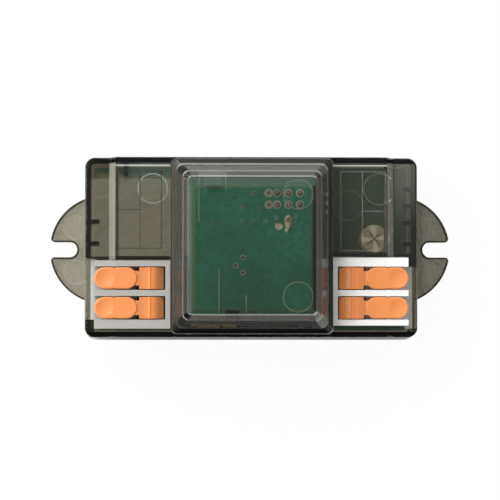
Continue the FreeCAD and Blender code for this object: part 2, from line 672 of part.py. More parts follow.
def radar_board():
    """The radar board on its two clips, drilled for the header."""
    board = box(-RADAR_HALF_LENGTH, RADAR_HALF_LENGTH, RADAR_FRONT, RADAR_BACK, RADAR_BOTTOM, RADAR_TOP)
    radius = PIN_CORNER + DRILL_GAP / 2
    holes = []
    for x, y in header_places():
        holes.append(rod(radius, (x, y, RADAR_BOTTOM - WALL), (x, y, RADAR_TOP + WALL)))
    return board.cut(Part.makeCompound(holes))


def radar_pads():
    """Copper rings round the header pins and the two spare pads."""
    hole = PIN_CORNER + DRILL_GAP / 2
    spare = [(EXTRA_PAD_X, HEADER_Y - PITCH / 2), (EXTRA_PAD_X, HEADER_Y + PITCH / 2)]
    rings = []
    for x, y in header_places() + spare:
        disc = rod(PAD_RADIUS, (x, y, RADAR_TOP), (x, y, RADAR_TOP + PAD_THICKNESS))
        rings.append(disc.cut(rod(hole, (x, y, RADAR_BOTTOM), (x, y, RADAR_TOP + WALL))))
    return Part.makeCompound(rings)


def solder_joints():
    """A solder cone round each header pin on the radar board."""
    base = RADAR_TOP + PAD_THICKNESS
    cones = []
    for x, y in header_places():
        half = PIN_SIDE / 2
        cone = Part.makeCone(JOINT_RADIUS, PIN_CORNER, JOINT_HEIGHT, Vector(x, y, base))
        pin = box(x - half, x + half, y - half, y + half, RADAR_TOP, RADAR_TOP + PIN_PROUD + WALL)
        cones.append(cone.cut(pin))
    return Part.makeCompound(cones)


def header_block(bottom, height):
    """A black insulator strip round the six header pins."""
    body = block((HEADER_X, HEADER_Y, 3 * PITCH, 2 * PITCH, height), bottom)
    return body.cut(header_pins())


def header_pins():
    """Six square pins from under the main board to above the radar board."""
    half = PIN_SIDE / 2
    top = RADAR_TOP + PIN_PROUD
    pins = [box(x - half, x + half, y - half, y + half, TAIL_BOTTOM, top) for x, y in header_places()]
    return Part.makeCompound(pins)


def terminal_housing():
    """The right terminal's housing: ribs, lever bays, wire holes and clamp chambers."""
    body = box(HOUSING_INNER, HOUSING_OUTER, HOUSING_FRONT, HOUSING_BACK, BOARD_TOP, HOUSING_TOP)
    tails = box_tails(DRILL_GAP / 2)
    cuts = []
    bumps = []
    for y in LEVER_YS:
        low, high = y - BAY / 2, y + BAY / 2
        cuts.append(box(CHAMBER_INNER, HOUSING_OUTER + WALL, low, high, BAY_FLOOR, HOUSING_TOP + WALL))
        cuts.append(box(CHAMBER_INNER, CHAMBER_OUTER, low, high, CHAMBER_FLOOR, HOUSING_TOP))
        cuts.append(rod(WIRE_RADIUS, (PIVOT_X, y, WIRE_Z), (HOUSING_OUTER + WALL, y, WIRE_Z)))
        mouth = Vector(HOUSING_OUTER - WIRE_CHAMFER, y, WIRE_Z)
        wide = WIRE_RADIUS + WIRE_CHAMFER
        cuts.append(Part.makeCone(WIRE_RADIUS, wide, WIRE_CHAMFER, mouth, Vector(1, 0, 0)))
        reach = LEVER_WIDTH / 2 + LEVER_SIDE_GAP + PIN_BITE + PIN_END_GAP
        cuts.append(rod(PIN_RADIUS + PIN_GAP, (PIVOT_X, y - reach, PIVOT_Z), (PIVOT_X, y + reach, PIVOT_Z)))
        notch_x = HOUSING_OUTER - NOTCH_FROM_TIP
        half = BUMP_LENGTH / 2
        for edge, inward in ((low, 1), (high, -1)):
            tip = edge + inward * BUMP
            root = edge - inward * BUMP
            bumps.append(box(notch_x - half, notch_x + half, root, tip, BAY_FLOOR, HOUSING_TOP))
    body = body.cut(joined(cuts)).cut(tails)
    return body.multiFuse(bumps).removeSplitter()


def box_tails(margin):
    """The busbars' solder tails, or with a margin the holes that take them."""
    half = BUSBAR / 2 + margin
    tails = []
    for x in TAIL_XS:
        for y in LEVER_YS:
            tails.append(box(x - half, x + half, y - half, y + half, TAIL_BOTTOM, CHAMBER_FLOOR + margin))
    return Part.makeCompound(tails)


def busbars():
    """The two contact bars of the right terminal, each with two solder tails."""
    bars = []
    for y in LEVER_YS:
        half = BUSBAR_WIDTH / 2
        top = CHAMBER_FLOOR + BUSBAR
        bars.append(box(CHAMBER_INNER, CHAMBER_OUTER, y - half, y + half, CHAMBER_FLOOR, top))
    whole = Part.makeCompound(bars).fuse(box_tails(0)).removeSplitter()
    return Part.makeCompound(whole.Solids)


def clamp_springs():
    """The two bent clamp springs: an upright leg, a bend and a tongue that slopes to the busbar."""
    low = CHAMBER_FLOOR + BUSBAR
    inner = CHAMBER_INNER
    bend = inner + 3 * SPRING
    tongue = inner + SPRING + SPRING_REACH
    high = PIVOT_Z - DRUM_FLAT - SPRING_GAP
    springs = []
    for y in LEVER_YS:
        path = [(inner, low), (inner, high - SPRING), (inner + SPRING, high), (bend, high)]
        path += [(tongue, low + SPRING), (tongue - SPRING, low + SPRING / 4), (bend, high - SPRING)]
        path += [(inner + SPRING, high - SPRING), (inner + SPRING, low)]
        strip = side_profile(path, SPRING_WIDTH / 2)
        strip.translate(Vector(0, y, 0))
        springs.append(strip)
    return Part.makeCompound(springs)


def lever(y):
    """One lever of the right terminal, closed: drum, side pins, neck and paddle."""
    tip = HOUSING_OUTER
    radius = LEVER_WIDTH / 2
    paddle_low = LEVER_TOP - PADDLE_THICKNESS
    near = tip - PADDLE_LENGTH + radius
    far = tip - radius
    paddle = joined([
        rod(radius, (near, y, paddle_low), (near, y, LEVER_TOP)),
        rod(radius, (far, y, paddle_low), (far, y, LEVER_TOP)),
        box(near, far, y - radius, y + radius, paddle_low, LEVER_TOP),
    ])
    rim = [edge for edge in paddle.Edges if edge.BoundBox.ZMin > LEVER_TOP - TOLERANCE]
    paddle = paddle.makeFillet(PADDLE_ROUND, rim)
    dish = Part.makeSphere(DISH_RADIUS, Vector(far, y, LEVER_TOP + DISH_RADIUS - DISH_DEPTH))
    paddle = paddle.cut(dish)
    notch_x = tip - NOTCH_FROM_TIP
    for side in (-1, 1):
        edge = y + side * (radius + NOTCH_RADIUS / 2)
        ends = ((notch_x, edge, paddle_low - WALL), (notch_x, edge, LEVER_TOP + WALL))
        paddle = paddle.cut(rod(NOTCH_RADIUS, *ends))
    drum = rod(DRUM_RADIUS, (PIVOT_X, y - radius, PIVOT_Z), (PIVOT_X, y + radius, PIVOT_Z))
    flat_top = PIVOT_Z - DRUM_FLAT
    drum = drum.cut(box(PIVOT_X - DRUM_RADIUS, PIVOT_X + DRUM_RADIUS, y - radius, y + radius, 0, flat_top))
    root_top = LEVER_TOP - CREST_STEP
    root = box(PIVOT_X, PIVOT_X + DRUM_RADIUS, y - radius, y + radius, PIVOT_Z, root_top)
    crest = box(PIVOT_X, PIVOT_X + DRUM_RADIUS, y - radius, y + radius, root_top, LEVER_TOP + WALL)
    ridge_place = (PIVOT_X + RIDGE_OFFSET, LEVER_TOP - RIDGE_RADIUS)
    ridge_ends = [(ridge_place[0], y + side * radius, ridge_place[1]) for side in (-1, 1)]
    ridge = rod(RIDGE_RADIUS, *ridge_ends)
    half = NECK_WIDTH / 2
    neck = box(PIVOT_X, near, y - half, y + half, paddle_low, root_top)
    reach = radius + LEVER_SIDE_GAP + PIN_BITE
    pins = rod(PIN_RADIUS, (PIVOT_X, y - reach, PIVOT_Z), (PIVOT_X, y + reach, PIVOT_Z))
    return joined([paddle, drum.cut(crest), root, ridge, neck, pins])


def leads(name, bottom):
    """The round leads of one part, from under the board to the part."""
    rods = [rod(LEAD_RADIUS, (x, y, TAIL_BOTTOM), (x, y, bottom)) for x, y in lead_grid(name)]
    return Part.makeCompound(rods)


def lead_grid(name):
    """The lead places of one part, round its centre."""
    centre_x, centre_y = LEADED_PARTS[name][:2]
    along_x, along_y = LEAD_SPACINGS[name]
    columns, rows = LEAD_COUNTS[name]
    places = []
    for column in range(columns):
        for row in range(rows):
            x = centre_x + (column - (columns - 1) / 2) * along_x
            y = centre_y + (row - (rows - 1) / 2) * along_y
            places.append((x, y))
    return places


def save_capacitor(name, part):
    """A round capacitor: can with a pressed vent cross, shrunk sleeve, rubber bung and leads."""
    x, y, diameter, height = part
    radius = diameter / 2
    inner = radius - SLEEVE
    bottom = BOARD_TOP + SLEEVE
    top = BOARD_TOP + height
    can = rod(inner, (x, y, bottom + BUNG), (x, y, top))
    rim = [edge for edge in can.Edges if edge.BoundBox.ZMin > top - CAN_ROUND]
    can = can.makeFillet(CAN_ROUND, rim)
    reach = radius - VENT_MARGIN
    for angle in VENT_ANGLES:
        slit = box(-reach, reach, -SLEEVE / 2, SLEEVE / 2, top - SLEEVE, top + WALL)
        slit.rotate(Vector(0, 0, 0), Vector(0, 0, 1), angle)
        slit.translate(Vector(x, y, 0))
        can = can.cut(slit)
    sleeve = rod(radius, (x, y, bottom), (x, y, top - CAN_ROUND / 2))
    sleeve = sleeve.cut(rod(inner, (x, y, bottom - WALL), (x, y, top + WALL)))
    save(name + "_can", can)
    save(name + "_sleeve", sleeve)
    save(name + "_bung", rod(inner, (x, y, bottom), (x, y, bottom + BUNG)))
    save(name + "_leads", leads(name, bottom))


def save_transformer():
    """An E-core transformer: core, bobbin, taped coil and pins."""
    x, y, length, height = TRANSFORMER
    foot_top = BOARD_TOP + BOBBIN_FOOT
    rise = height - BOBBIN_FOOT
    window_rise = rise - 2 * CORE_LEG
    window_low = foot_top + CORE_LEG
    coil_length = length - 2 * CORE_LEG - 2 * COIL_GAP
    tunnel = block((x, y, length, CORE_DEPTH + 2 * COIL_GAP, height), foot_top)
    core = block((x, y, length, CORE_DEPTH, rise), foot_top)
    core = core.cut(block((x, y, length - 2 * CORE_LEG, COIL_DEPTH, window_rise), window_low))
    core = core.fuse(block((x, y, CORE_LEG, CORE_DEPTH, window_rise), window_low)).removeSplitter()
    coil = block((x, y, coil_length, COIL_DEPTH, window_rise - 2 * COIL_GAP), window_low + COIL_GAP)
    corners = [edge for edge in coil.Edges if edge.BoundBox.ZLength > window_rise / 2]
    coil = coil.makeFillet(COIL_ROUND, corners)
    coil = coil.cut(block((x, y, CORE_LEG + 2 * COIL_GAP, CORE_DEPTH + 2 * COIL_GAP, height), foot_top))
    cheeks = block((x, y, coil_length, COIL_DEPTH, CORE_LEG + COIL_GAP), foot_top).cut(tunnel)
    foot = block((x, y, length, BOBBIN_DEPTH, BOBBIN_FOOT), BOARD_TOP)
    save("transformer_core", core)
    save("transformer_bobbin", joined([foot, cheeks]))
    save("transformer_winding", coil)
    save("transformer_pins", leads("transformer", BOARD_TOP))


def chip(part, legs):
    """A small flat chip on the main board, with bent legs along its two long sides."""
    x, y, length, width, height = part
    pieces = [block((x, y, length, width, height - CHIP_LIFT), BOARD_TOP + CHIP_LIFT)]
    half = LEG_WIDTH / 2
    for index in range(legs):
        at = x + (index - (legs - 1) / 2) * length / legs
        for side in (-1, 1):
            edge = y + side * width / 2
            bend = edge + side * LEG_REACH / 2
            back = edge - side * LEG_THICKNESS
            foot = edge + side * LEG_REACH
            knee = bend + side * LEG_THICKNESS / 2
            pieces.append(box(at - half, at + half, bend, foot, BOARD_TOP, BOARD_TOP + LEG_THICKNESS))
            pieces.append(box(at - half, at + half, back, knee, BOARD_TOP, BOARD_TOP + height / 2))
    return joined(pieces)


def small_parts(places, bottom):
    """Little chip resistors and capacitors on one face of a board."""
    return Part.makeCompound([block((x, y) + SMALL_PART, bottom) for x, y in places])


def save_standing_parts():
    """The disc varistor and the upright fuse resistor on their leads."""
    bottom = BOARD_TOP + LEAD_STAND
    x, y, diameter, thickness = VARISTOR
    centre = bottom + diameter / 2
    disc = rod(diameter / 2, (x - thickness / 2, y, centre), (x + thickness / 2, y, centre))
    save("varistor", disc)
    save("varistor_leads", leads("varistor", centre).cut(disc))
    x, y, diameter, length = FUSE_RESISTOR
    save("fuse_resistor", rod(diameter / 2, (x, y, bottom), (x, y, bottom + length)))
    save("fuse_resistor_leads", leads("fuse_resistor", bottom))


def save_case():
    """The base plate and the cover."""
    save("base_plate", base_plate())
    save("top_cover", top_cover())


def save_radar():
    """The radar board, what is on it, and the header that carries it."""
    save("radar_board", radar_board())
    save("radar_pads", radar_pads())
    save("radar_solder_joints", solder_joints())
    save("radar_chip", block(RADAR_CHIP, RADAR_BOTTOM - RADAR_CHIP[4]))
    save("radar_small_parts", small_parts(RADAR_SMALL_PLACES, RADAR_BOTTOM - SMALL_PART[2]))
    socket_top = RADAR_BOTTOM - HEADER_SPACER
    save("header_socket", header_block(BOARD_TOP, socket_top - BOARD_TOP))
    save("header_spacer", header_block(socket_top, HEADER_SPACER))
    save("header_pins", header_pins())


def save_terminals():
    """Both terminals: housings, busbars, clamp springs and the four levers."""
    shapes = {"terminal_housing": terminal_housing(), "busbars": busbars(), "clamp_springs": clamp_springs()}
    for name, shape in shapes.items():
        save("right_" + name, shape)
        save("left_" + name, half_turned(shape))
    back, front = LEVER_YS
    save("right_back_lever", lever(back))
    save("right_front_lever", lever(front))
    save("left_back_lever", half_turned(lever(front)))
    save("left_front_lever", half_turned(lever(back)))


def save_main_board():
    """The main board and the parts on it."""
    save("main_board", main_board())
    save("relay_case", block(RELAY, BOARD_TOP))
    save("relay_pins", leads("relay", BOARD_TOP))
    save("film_capacitor", block(FILM_CAPACITOR, BOARD_TOP))
    save("film_capacitor_leads", leads("film_capacitor", BOARD_TOP))
    save_transformer()
    save_standing_parts()
    save_capacitor("bulk_capacitor", BULK_CAPACITOR)
    save_capacitor("filter_capacitor", FILTER_CAPACITOR)
    save("bridge_rectifier", chip(RECTIFIER, 2))
    save("power_chip", chip(POWER_CHIP, 4))
    save("logic_chip", chip(LOGIC_CHIP, 4))
    save("main_small_parts", small_parts(MAIN_SMALL_PLACES, BOARD_TOP))


os.makedirs("parts", exist_ok=True)
save_case()
save_radar()
save_terminals()
save_main_board()
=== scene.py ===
import json
import math

import bmesh
import bpy
from mathutils import Matrix, Vector


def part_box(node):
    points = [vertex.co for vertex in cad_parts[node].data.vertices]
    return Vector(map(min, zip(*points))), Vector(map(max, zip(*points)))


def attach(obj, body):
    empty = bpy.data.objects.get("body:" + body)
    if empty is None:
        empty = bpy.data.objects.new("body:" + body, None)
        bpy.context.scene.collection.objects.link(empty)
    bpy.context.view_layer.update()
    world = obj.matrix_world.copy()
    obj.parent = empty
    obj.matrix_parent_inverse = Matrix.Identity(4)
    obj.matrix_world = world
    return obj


bl_info = {
    "name": "Microwave motion sensor",
    "version": (1, 0, 0),
    "blender": (4, 5, 0),
    "location": "View3D > Sidebar > Sensor",
    "description": "Finishes a smoke-cased microwave motion sensor and sets up its studio",
    "category": "Object",
}

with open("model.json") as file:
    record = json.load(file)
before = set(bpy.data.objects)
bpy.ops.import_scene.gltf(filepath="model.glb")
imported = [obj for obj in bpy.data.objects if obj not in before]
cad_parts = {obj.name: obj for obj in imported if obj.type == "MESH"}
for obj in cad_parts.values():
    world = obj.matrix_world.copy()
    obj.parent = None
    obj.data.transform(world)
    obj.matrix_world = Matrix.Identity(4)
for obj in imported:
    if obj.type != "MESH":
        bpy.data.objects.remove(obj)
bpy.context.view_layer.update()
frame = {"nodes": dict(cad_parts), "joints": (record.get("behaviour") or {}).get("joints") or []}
NODES = frame["nodes"]
MM = 0.001
WHITE = (1.0, 1.0, 1.0, 1.0)


def node_box(name):
    """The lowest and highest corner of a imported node, in millimetres."""
    low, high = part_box(name)
    return low / MM, high / MM


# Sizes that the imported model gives, in millimetres
CASE_HALF_LENGTH, CASE_HALF_WIDTH, DOME_TOP = node_box("top_cover")[1]
RADAR_LOW, RADAR_HIGH = node_box("radar_board")
RADAR_TOP = RADAR_HIGH.z
PIVOT_Z = frame["joints"][0]["pos_m"][2] / MM

# Sizes inside the moulding, in millimetres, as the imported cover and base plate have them
WALL = 1.3
WING_TOP = 16.5
WING_END = 30.3
PLATE_TOP = 2.0
GROOVE_DEPTH = 0.12
EAR_CENTRE = 33.4
EAR_RADIUS = 12.4
SLOT_CENTRE = 41.3
SLOT_HALF = 1.75
WING_FACE = WING_TOP - WALL
DOME_FACE = DOME_TOP - WALL

# Round marks of the mould's pins: X, Y, radius, the height of the face they are on, and strength
COVER_MARKS = (
    (-22.0, 13.0, 3.3, WING_TOP, 0.4), (28.6, 13.0, 3.5, WING_FACE, 0.9), (21.6, 9.4, 3.3, WING_FACE, 0.3),
    (10.05, 11.3, 3.3, DOME_FACE, 0.9), (10.05, -11.3, 3.3, DOME_FACE, 0.9),
)
EAR_MARKS = tuple((39.9 * side, 5.15 * end, 2.7, PLATE_TOP, 0.4) for side in (-1, 1) for end in (-1, 1))

# Fine lines that the mould's loose blocks leave under the dome: X, and Y from and to
DOME_LINES = ((-11.75, 5.4, 15.2), (-5.83, 12.3, 15.0), (-7.33, -14.8, -5.1), (-1.38, -14.8, -11.0))
DOME_LINE_DEPTH = 2.5

# Half the width of a mark's line, from where it starts to fade to where it ends, and how near to a face
# the line shows
RING_LINE = (0.03, 0.17)
FINE_LINE = (0.05, 0.16)
NEAR_FACE = 0.3

# Heights between which each rounded edge of the dome lies, and how bright the highlight painted on it is at
# the ends, along the back and along the front
DOME_EDGE_HIGHLIGHTS = (
    (21.08, 21.26, 0.1, 0.2, 0.7), (21.62, 21.78, 0.05, 0.6, 0.1),
    (24.10, 24.34, 0.35, 0.5, 0.3), (24.80, 24.97, 0.18, 0.4, 0.4),
)
# How much of the highlights painted on the dome's edges the right end loses
RIGHT_END_HIGHLIGHT_LOSS = 0.5

# The highlight painted along the wings' back: Y from and to, and the X where it starts
BACK_HIGHLIGHT = (18.05, 18.3)
BACK_HIGHLIGHT_START = 18.2

# The patches below are painted light and shade: they follow the photograph's light and what it shows through
# the plastic. They are painted at fixed places on the moulding, in millimetres, so they don't follow another
# light. On the cover, each has the place where it starts and where it is full or ends, and its share of
# satin

# Painted light on the back and left margins of the dome's flat top, above the radar board's edges
MARGIN_BACK = (12.95, 13.25)
MARGIN_BACK_LIGHT_SHARE = 0.11
MARGIN_LEFT = (13.1, 13.6)
MARGIN_LEFT_LIGHT_SHARE = 0.20
MARGIN_PAINT = (0.36, 0.60, 0.50, 1.0)

# Painted light on the dome's shoulders, warm at the left, and a painted highlight on its corner at the front
# right
WARM_LIGHT_PAINT = (0.62, 0.50, 0.30, 1.0)
SHOULDER_LIGHT_SHARE = 0.05
RIGHT_SHOULDER_LIGHT_SHARE = 0.02
CORNER_HIGHLIGHT_SHARE = 0.25

# Painted light over a block and a narrower clip at the back edge of the dome's flat top
BLOCK_X = (-11.75, -5.83)
BLOCK_Y = (12.6, 13.2)
BLOCK_LIGHT_SHARE = 0.07
CLIP_X = (-10.4, -7.2)
CLIP_Y = (12.4, 12.9)
CLIP_LIGHT_SHARE = 0.07

# A cool patch of painted light at the back of the left wing's roof
TEAL_X = (-24.0, -17.5)
TEAL_Y = (11.0, 17.0)
TEAL_LIGHT_SHARE = 0.07
TEAL_LIGHT_PAINT = (0.36, 0.55, 0.48, 1.0)

# Painted light on the strip at the right end, how much satin the left roof has, where the right one has 1
# more as painted light, and the engraved lines at both ends, with painted shade in them at the left and a
# painted highlight at the right
STRIP_X = (WING_END + 1.6, WING_END + 1.8)
STRIP_Y = (2.0, 18.0)
LEFT_ROOF = 0.6
LEFT_GROOVE_SHADE_SHARE = 0.75
RIGHT_GROOVE_HIGHLIGHT_SHARE = 0.09

# The gloss that faces to the front and left lose, where the key lamp would mirror in them, the satin that
# the dome's front slope loses as painted shade, and how much more of it the flat top has round its front, as
# painted light, and less round its left, as painted shade
FRONT_GLOSS_LOSS = 0.95
LEFT_GLOSS_LOSS = 0.85
FRONT_SLOPE_SHADE = 0.95
FRONT_CROWN_LIGHT = 0.3
LEFT_CROWN_SHADE = 0.4

# On the base plate: painted light on the sills in the wire windows, a painted shadow of the case on the
# right ear, painted shade on the inner floor, darker and cooler, and painted shade along the outlines of the
# ears
SILL_X = (35.1, CASE_HALF_LENGTH)
SILL_Y = (-18.0, -2.5)
LEFT_SILL_LIGHT_SHARE = 0.55
RIGHT_SILL_LIGHT_SHARE = 0.40
EAR_ROOT_SHADOW_SHARE = 0.48
EAR_TIP_SHADOW_SHARE = 0.26
EAR_ROOT_LENGTH = 4.5
FLOOR_X = 35.7
FLOOR_Y = 18.6
FLOOR_SHADE_SHARE = 0.17
OUTLINE = (0.24, 0.48)
OUTLINE_SHADE_SHARE = 0.9
EAR_SHADE_PAINT = (0.04, 0.036, 0.03, 1.0)
FLOOR_SHADE_PAINT = (0.045, 0.065, 0.10, 1.0)

# The levers, also painted after the photograph: painted light on the drums and painted shadow at the necks,
# by their distance from X 0
DRUM_X = (22.2, 22.8)
DRUM_LIGHT_PAINT = (1.0, 0.52, 0.22, 1.0)
NECK_START = (22.9, 25.2)
NECK_END = (25.3, 25.5)
NECK_SHADOW_SHARE = 0.35

# Pale margins of the boards, also painted after the photograph, in millimetres: painted light on the radar
# board's, bare laminate on the main board's; and the boards' cut edges
RADAR_MARGIN_LEFT = 1.4
RADAR_MARGIN_BACK = (1.0, 0.1)
RADAR_MARGIN_LIGHT_SHARE = 0.45
RADAR_MARGIN_LIGHT_PAINT = (0.34, 0.56, 0.42, 1.0)
RADAR_EDGE = (0.35, 0.36, 0.16, 1.0)
MAIN_MARGIN_X = (16.6, 17.2)
MAIN_MARGIN_Y = (16.2, 17.6)
MAIN_MARGIN_SHARE = 0.5
LAMINATE = (0.50, 0.48, 0.36, 1.0)

# Noise in the finishes: how many features to a millimetre, and detail
RIPPLES = (0.25, 2.0)
CLOUDS = (0.3, 3.0)
GRAIN = (6.0, 3.0)
RUBBED = (1.5, 4.0)
METAL_CLOUDS = (1.2, 4.0)
METAL_GRAIN = (5.0, 3.0)
METAL_RUBBED = (3.0, 4.0)

# The brushed top of a can, with its highlights painted as spokes: how many broad and fine spokes, and how
# ragged they are
BROAD_SPOKES = 4.0
FINE_SPOKES = 37.0
RAGGED = 2.4
CROSS_TURNS = (math.radians(40), math.radians(130))
CROSS_LINE = (0.06, 0.16)

# What lies on the radar board, in millimetres, by X and Y: vias, dots and filled pads with their radius,
# drops of solder with half their length and width and their height, and bare pads
VIAS = ((-2.03, -2.56, 0.66), (-3.64, -4.34, 0.66), (-2.10, -5.88, 0.66))
DOTS = ((0.41, 11.70, 0.5), (-2.21, 8.51, 0.42), (1.1, 8.6, 0.3))
FILLS = ((3.66, 11.65, 0.5), (3.66, 9.1, 0.5))
SOLDER_DROPS = (
    (7.95, 5.36, 0.88, 1.43, 0.42), (7.73, 3.38, 0.55, 0.6, 0.35), (5.86, 4.37, 0.88, 0.85, 0.16),
)
BARE_PADS = ((-2.16, 5.47), (0.15, 5.47), (2.96, 5.47), (5.31, 6.2), (9.6, 6.6))
BARE_PAD_HALF = 0.5
PAD_HEIGHT = 0.05
PAD_ROUND = 0.02
FILL_HEIGHT = 0.1
FILL_ROUND = 0.04
# Dark discs painted as the shade in the holes of the vias and dots: share of radius, base height, thickness,
# rounding
HOLE_SHARE = 0.45
HOLE_BASE = 0.04
HOLE_HEIGHT = 0.03
HOLE_ROUND = 0.01
SOLDER_GREY = (0.34, 0.34, 0.38)

# The printed lines: X from and to, and Y
PRINTED_LINES = ((-4.36, -0.84, 11.3), (-11.1, -5.6, 5.3), (-5.6, -4.3, 6.75), (7.2, 10.2, 7.1))
PRINT_HALF_WIDTH = 0.07
PRINT_HEIGHT = 0.02
PRINT_ROUND = 0.005

# Parts with a plain finish: its name, colour and roughness, and the nodes that have it
PLAIN_PARTS = (
    ("capacitor bung", (0.03, 0.03, 0.03), 0.7, ("bulk_capacitor_bung", "filter_capacitor_bung")),
    ("relay case", (0.035, 0.037, 0.042), 0.4, ("relay_case",)),
    ("chip epoxy", (0.03, 0.03, 0.03), 0.55, ("radar_chip", "power_chip", "logic_chip", "bridge_rectifier")),
    ("ceramic", (0.45, 0.36, 0.25), 0.5, ("radar_small_parts", "main_small_parts")),
    ("ferrite", (0.06, 0.06, 0.065), 0.6, ("transformer_core",)),
    ("winding tape", (0.72, 0.52, 0.08), 0.3, ("transformer_winding",)),
    ("film capacitor box", (0.74, 0.50, 0.06), 0.35, ("film_capacitor",)),
    ("varistor epoxy", (0.05, 0.14, 0.42), 0.45, ("varistor",)),
    ("resistor lacquer", (0.33, 0.37, 0.35), 0.4, ("fuse_resistor",)),
)

# The stage, in metres
FLOOR_HALF = 2.0
KEY_PLACE = (-0.62, 0.44, 0.78)
KEY_SIZE = 0.9
CAMERA_AIM = (0, 0, 0.001)
CAMERA_NEAR = 0.01
SENSOR_WIDTH = 36.0

# The share of its own glow that the floor shows to the camera, and to rays off and through the plastic
CAMERA_GLOW = 0.96
OTHER_GLOW = 0.1


class Link:
    """A socket of a material, with arithmetic that adds Math nodes."""

    def __init__(self, finish, socket):
        self.finish = finish
        self.socket = socket

    def __add__(self, other):
        return self.finish.math("ADD", self, other)

    def __sub__(self, other):
        return self.finish.math("SUBTRACT", self, other)

    def __rsub__(self, other):
        return self.finish.math("SUBTRACT", other, self)

    def __mul__(self, other):
        return self.finish.math("MULTIPLY", self, other)

    def __truediv__(self, other):
        return self.finish.math("DIVIDE", self, other)

    def __abs__(self):
        return self.finish.math("ABSOLUTE", self)

    __radd__ = __add__
    __rmul__ = __mul__


class Finish:
    """A material or a sky that is being made, and the nodes it is made of."""

    def __init__(self, name, sky=False):
        self.material = (bpy.data.worlds if sky else bpy.data.materials).new(name)
        self.material.use_nodes = True
        self.tree = self.material.node_tree
        self.tree.nodes.clear()
        self.output = self.tree.nodes.new("ShaderNodeOutputWorld" if sky else "ShaderNodeOutputMaterial")

    def node(self, kind, settings=None, inputs=None, output=0):
        """Add a node: its settings first, then the values or links of its sockets."""
        made = self.tree.nodes.new(kind)
        for name, value in (settings or {}).items():
            setattr(made, name, value)
        for name, value in (inputs or {}).items():
            if isinstance(value, Link):
                self.tree.links.new(value.socket, made.inputs[name])
            else:
                made.inputs[name].default_value = value
        return Link(self, made.outputs[output])

    def math(self, operation, *values):
        """A Math node on links or numbers."""
        return self.node("ShaderNodeMath", {"operation": operation}, dict(enumerate(values)))

    def larger(self, first, second):
        """The larger of two links or numbers."""
        return self.math("MAXIMUM", first, second)

    def distance(self, across, along):
        """The distance that two steps at right angles cover."""
        return self.math("SQRT", across * across + along * along)

    def soft_step(self, value, low, high):
        """From 0 to 1 as a link goes from low to high."""
        settings = {"interpolation_type": "SMOOTHSTEP"}
        inputs = {"Value": value, "From Min": low, "From Max": high}
        return self.node("ShaderNodeMapRange", settings, inputs)

    def band(self, value, low, high, soft):
        """1 where a link lies between two values and 0 outside them."""
        rise = self.soft_step(value, low - soft, low)
        return rise * (1.0 - self.soft_step(value, high, high + soft))

    def split(self, coordinates):
        """The three parts of a Texture Coordinate output."""
        way = self.node("ShaderNodeTexCoord", output=coordinates)
        parts = self.node("ShaderNodeSeparateXYZ", None, {0: way}).socket.node
        return [Link(self, parts.outputs[axis]) for axis in range(3)]

    def place(self):
        """The place on the piece, as three links in millimetres."""
        return [part / MM for part in self.split("Object")]

    def facing(self):
        """The direction a face looks in, as three links."""
        return self.split("Normal")

    def noise(self, per_mm, detail, roughness=0.5):
        """Noise in the piece's own space, with so many features to a millimetre."""
        where = self.node("ShaderNodeTexCoord", output="Object")
        inputs = {"Vector": where, "Scale": per_mm / MM, "Detail": detail, "Roughness": roughness}
        return self.node("ShaderNodeTexNoise", None, inputs, "Fac")

    def uneven(self, middle, spread, per_mm, detail):
        """A number that noise moves up and down about a middle value."""
        return self.noise(per_mm, detail) * spread + (middle - spread / 2)

    def colour_mix(self, factor, first, second):
        """A colour between two colours."""
        return self.node("ShaderNodeMix", {"data_type": "RGBA"}, {0: factor, 6: first, 7: second}, 2)

    def bump(self, height, distance_mm):
        """A bump from a height between 0 and 1."""
        inputs = {"Height": height, "Distance": distance_mm * MM, "Strength": 1.0}
        return self.node("ShaderNodeBump", None, inputs)

    def principled(self, **sockets):
        """A Principled shader, its sockets named with underscores for spaces."""
        inputs = {name.replace("_", " "): value for name, value in sockets.items()}
        return self.node("ShaderNodeBsdfPrincipled", None, inputs)

    def mix_shader(self, factor, first, second):
        """A shader between two shaders."""
        return self.node("ShaderNodeMixShader", None, {0: factor, 1: first, 2: second})

    def shade(self, shader, volume=None):
        """Finish the material with its surface and its inside."""
        self.tree.links.new(shader.socket, self.output.inputs["Surface"])
        if volume is not None:
            self.tree.links.new(volume.socket, self.output.inputs["Volume"])
        return self.material


def opaque(colour, share=1.0):
    """A colour for a socket from its three channels, each taken to a share of itself."""
    return tuple(channel * share for channel in colour) + (1.0,)


def coat(material, *names):
    """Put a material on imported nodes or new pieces."""
    for name in names:
        piece = NODES[name] if isinstance(name, str) else name
        piece.data.materials.clear()
        piece.data.materials.append(material)


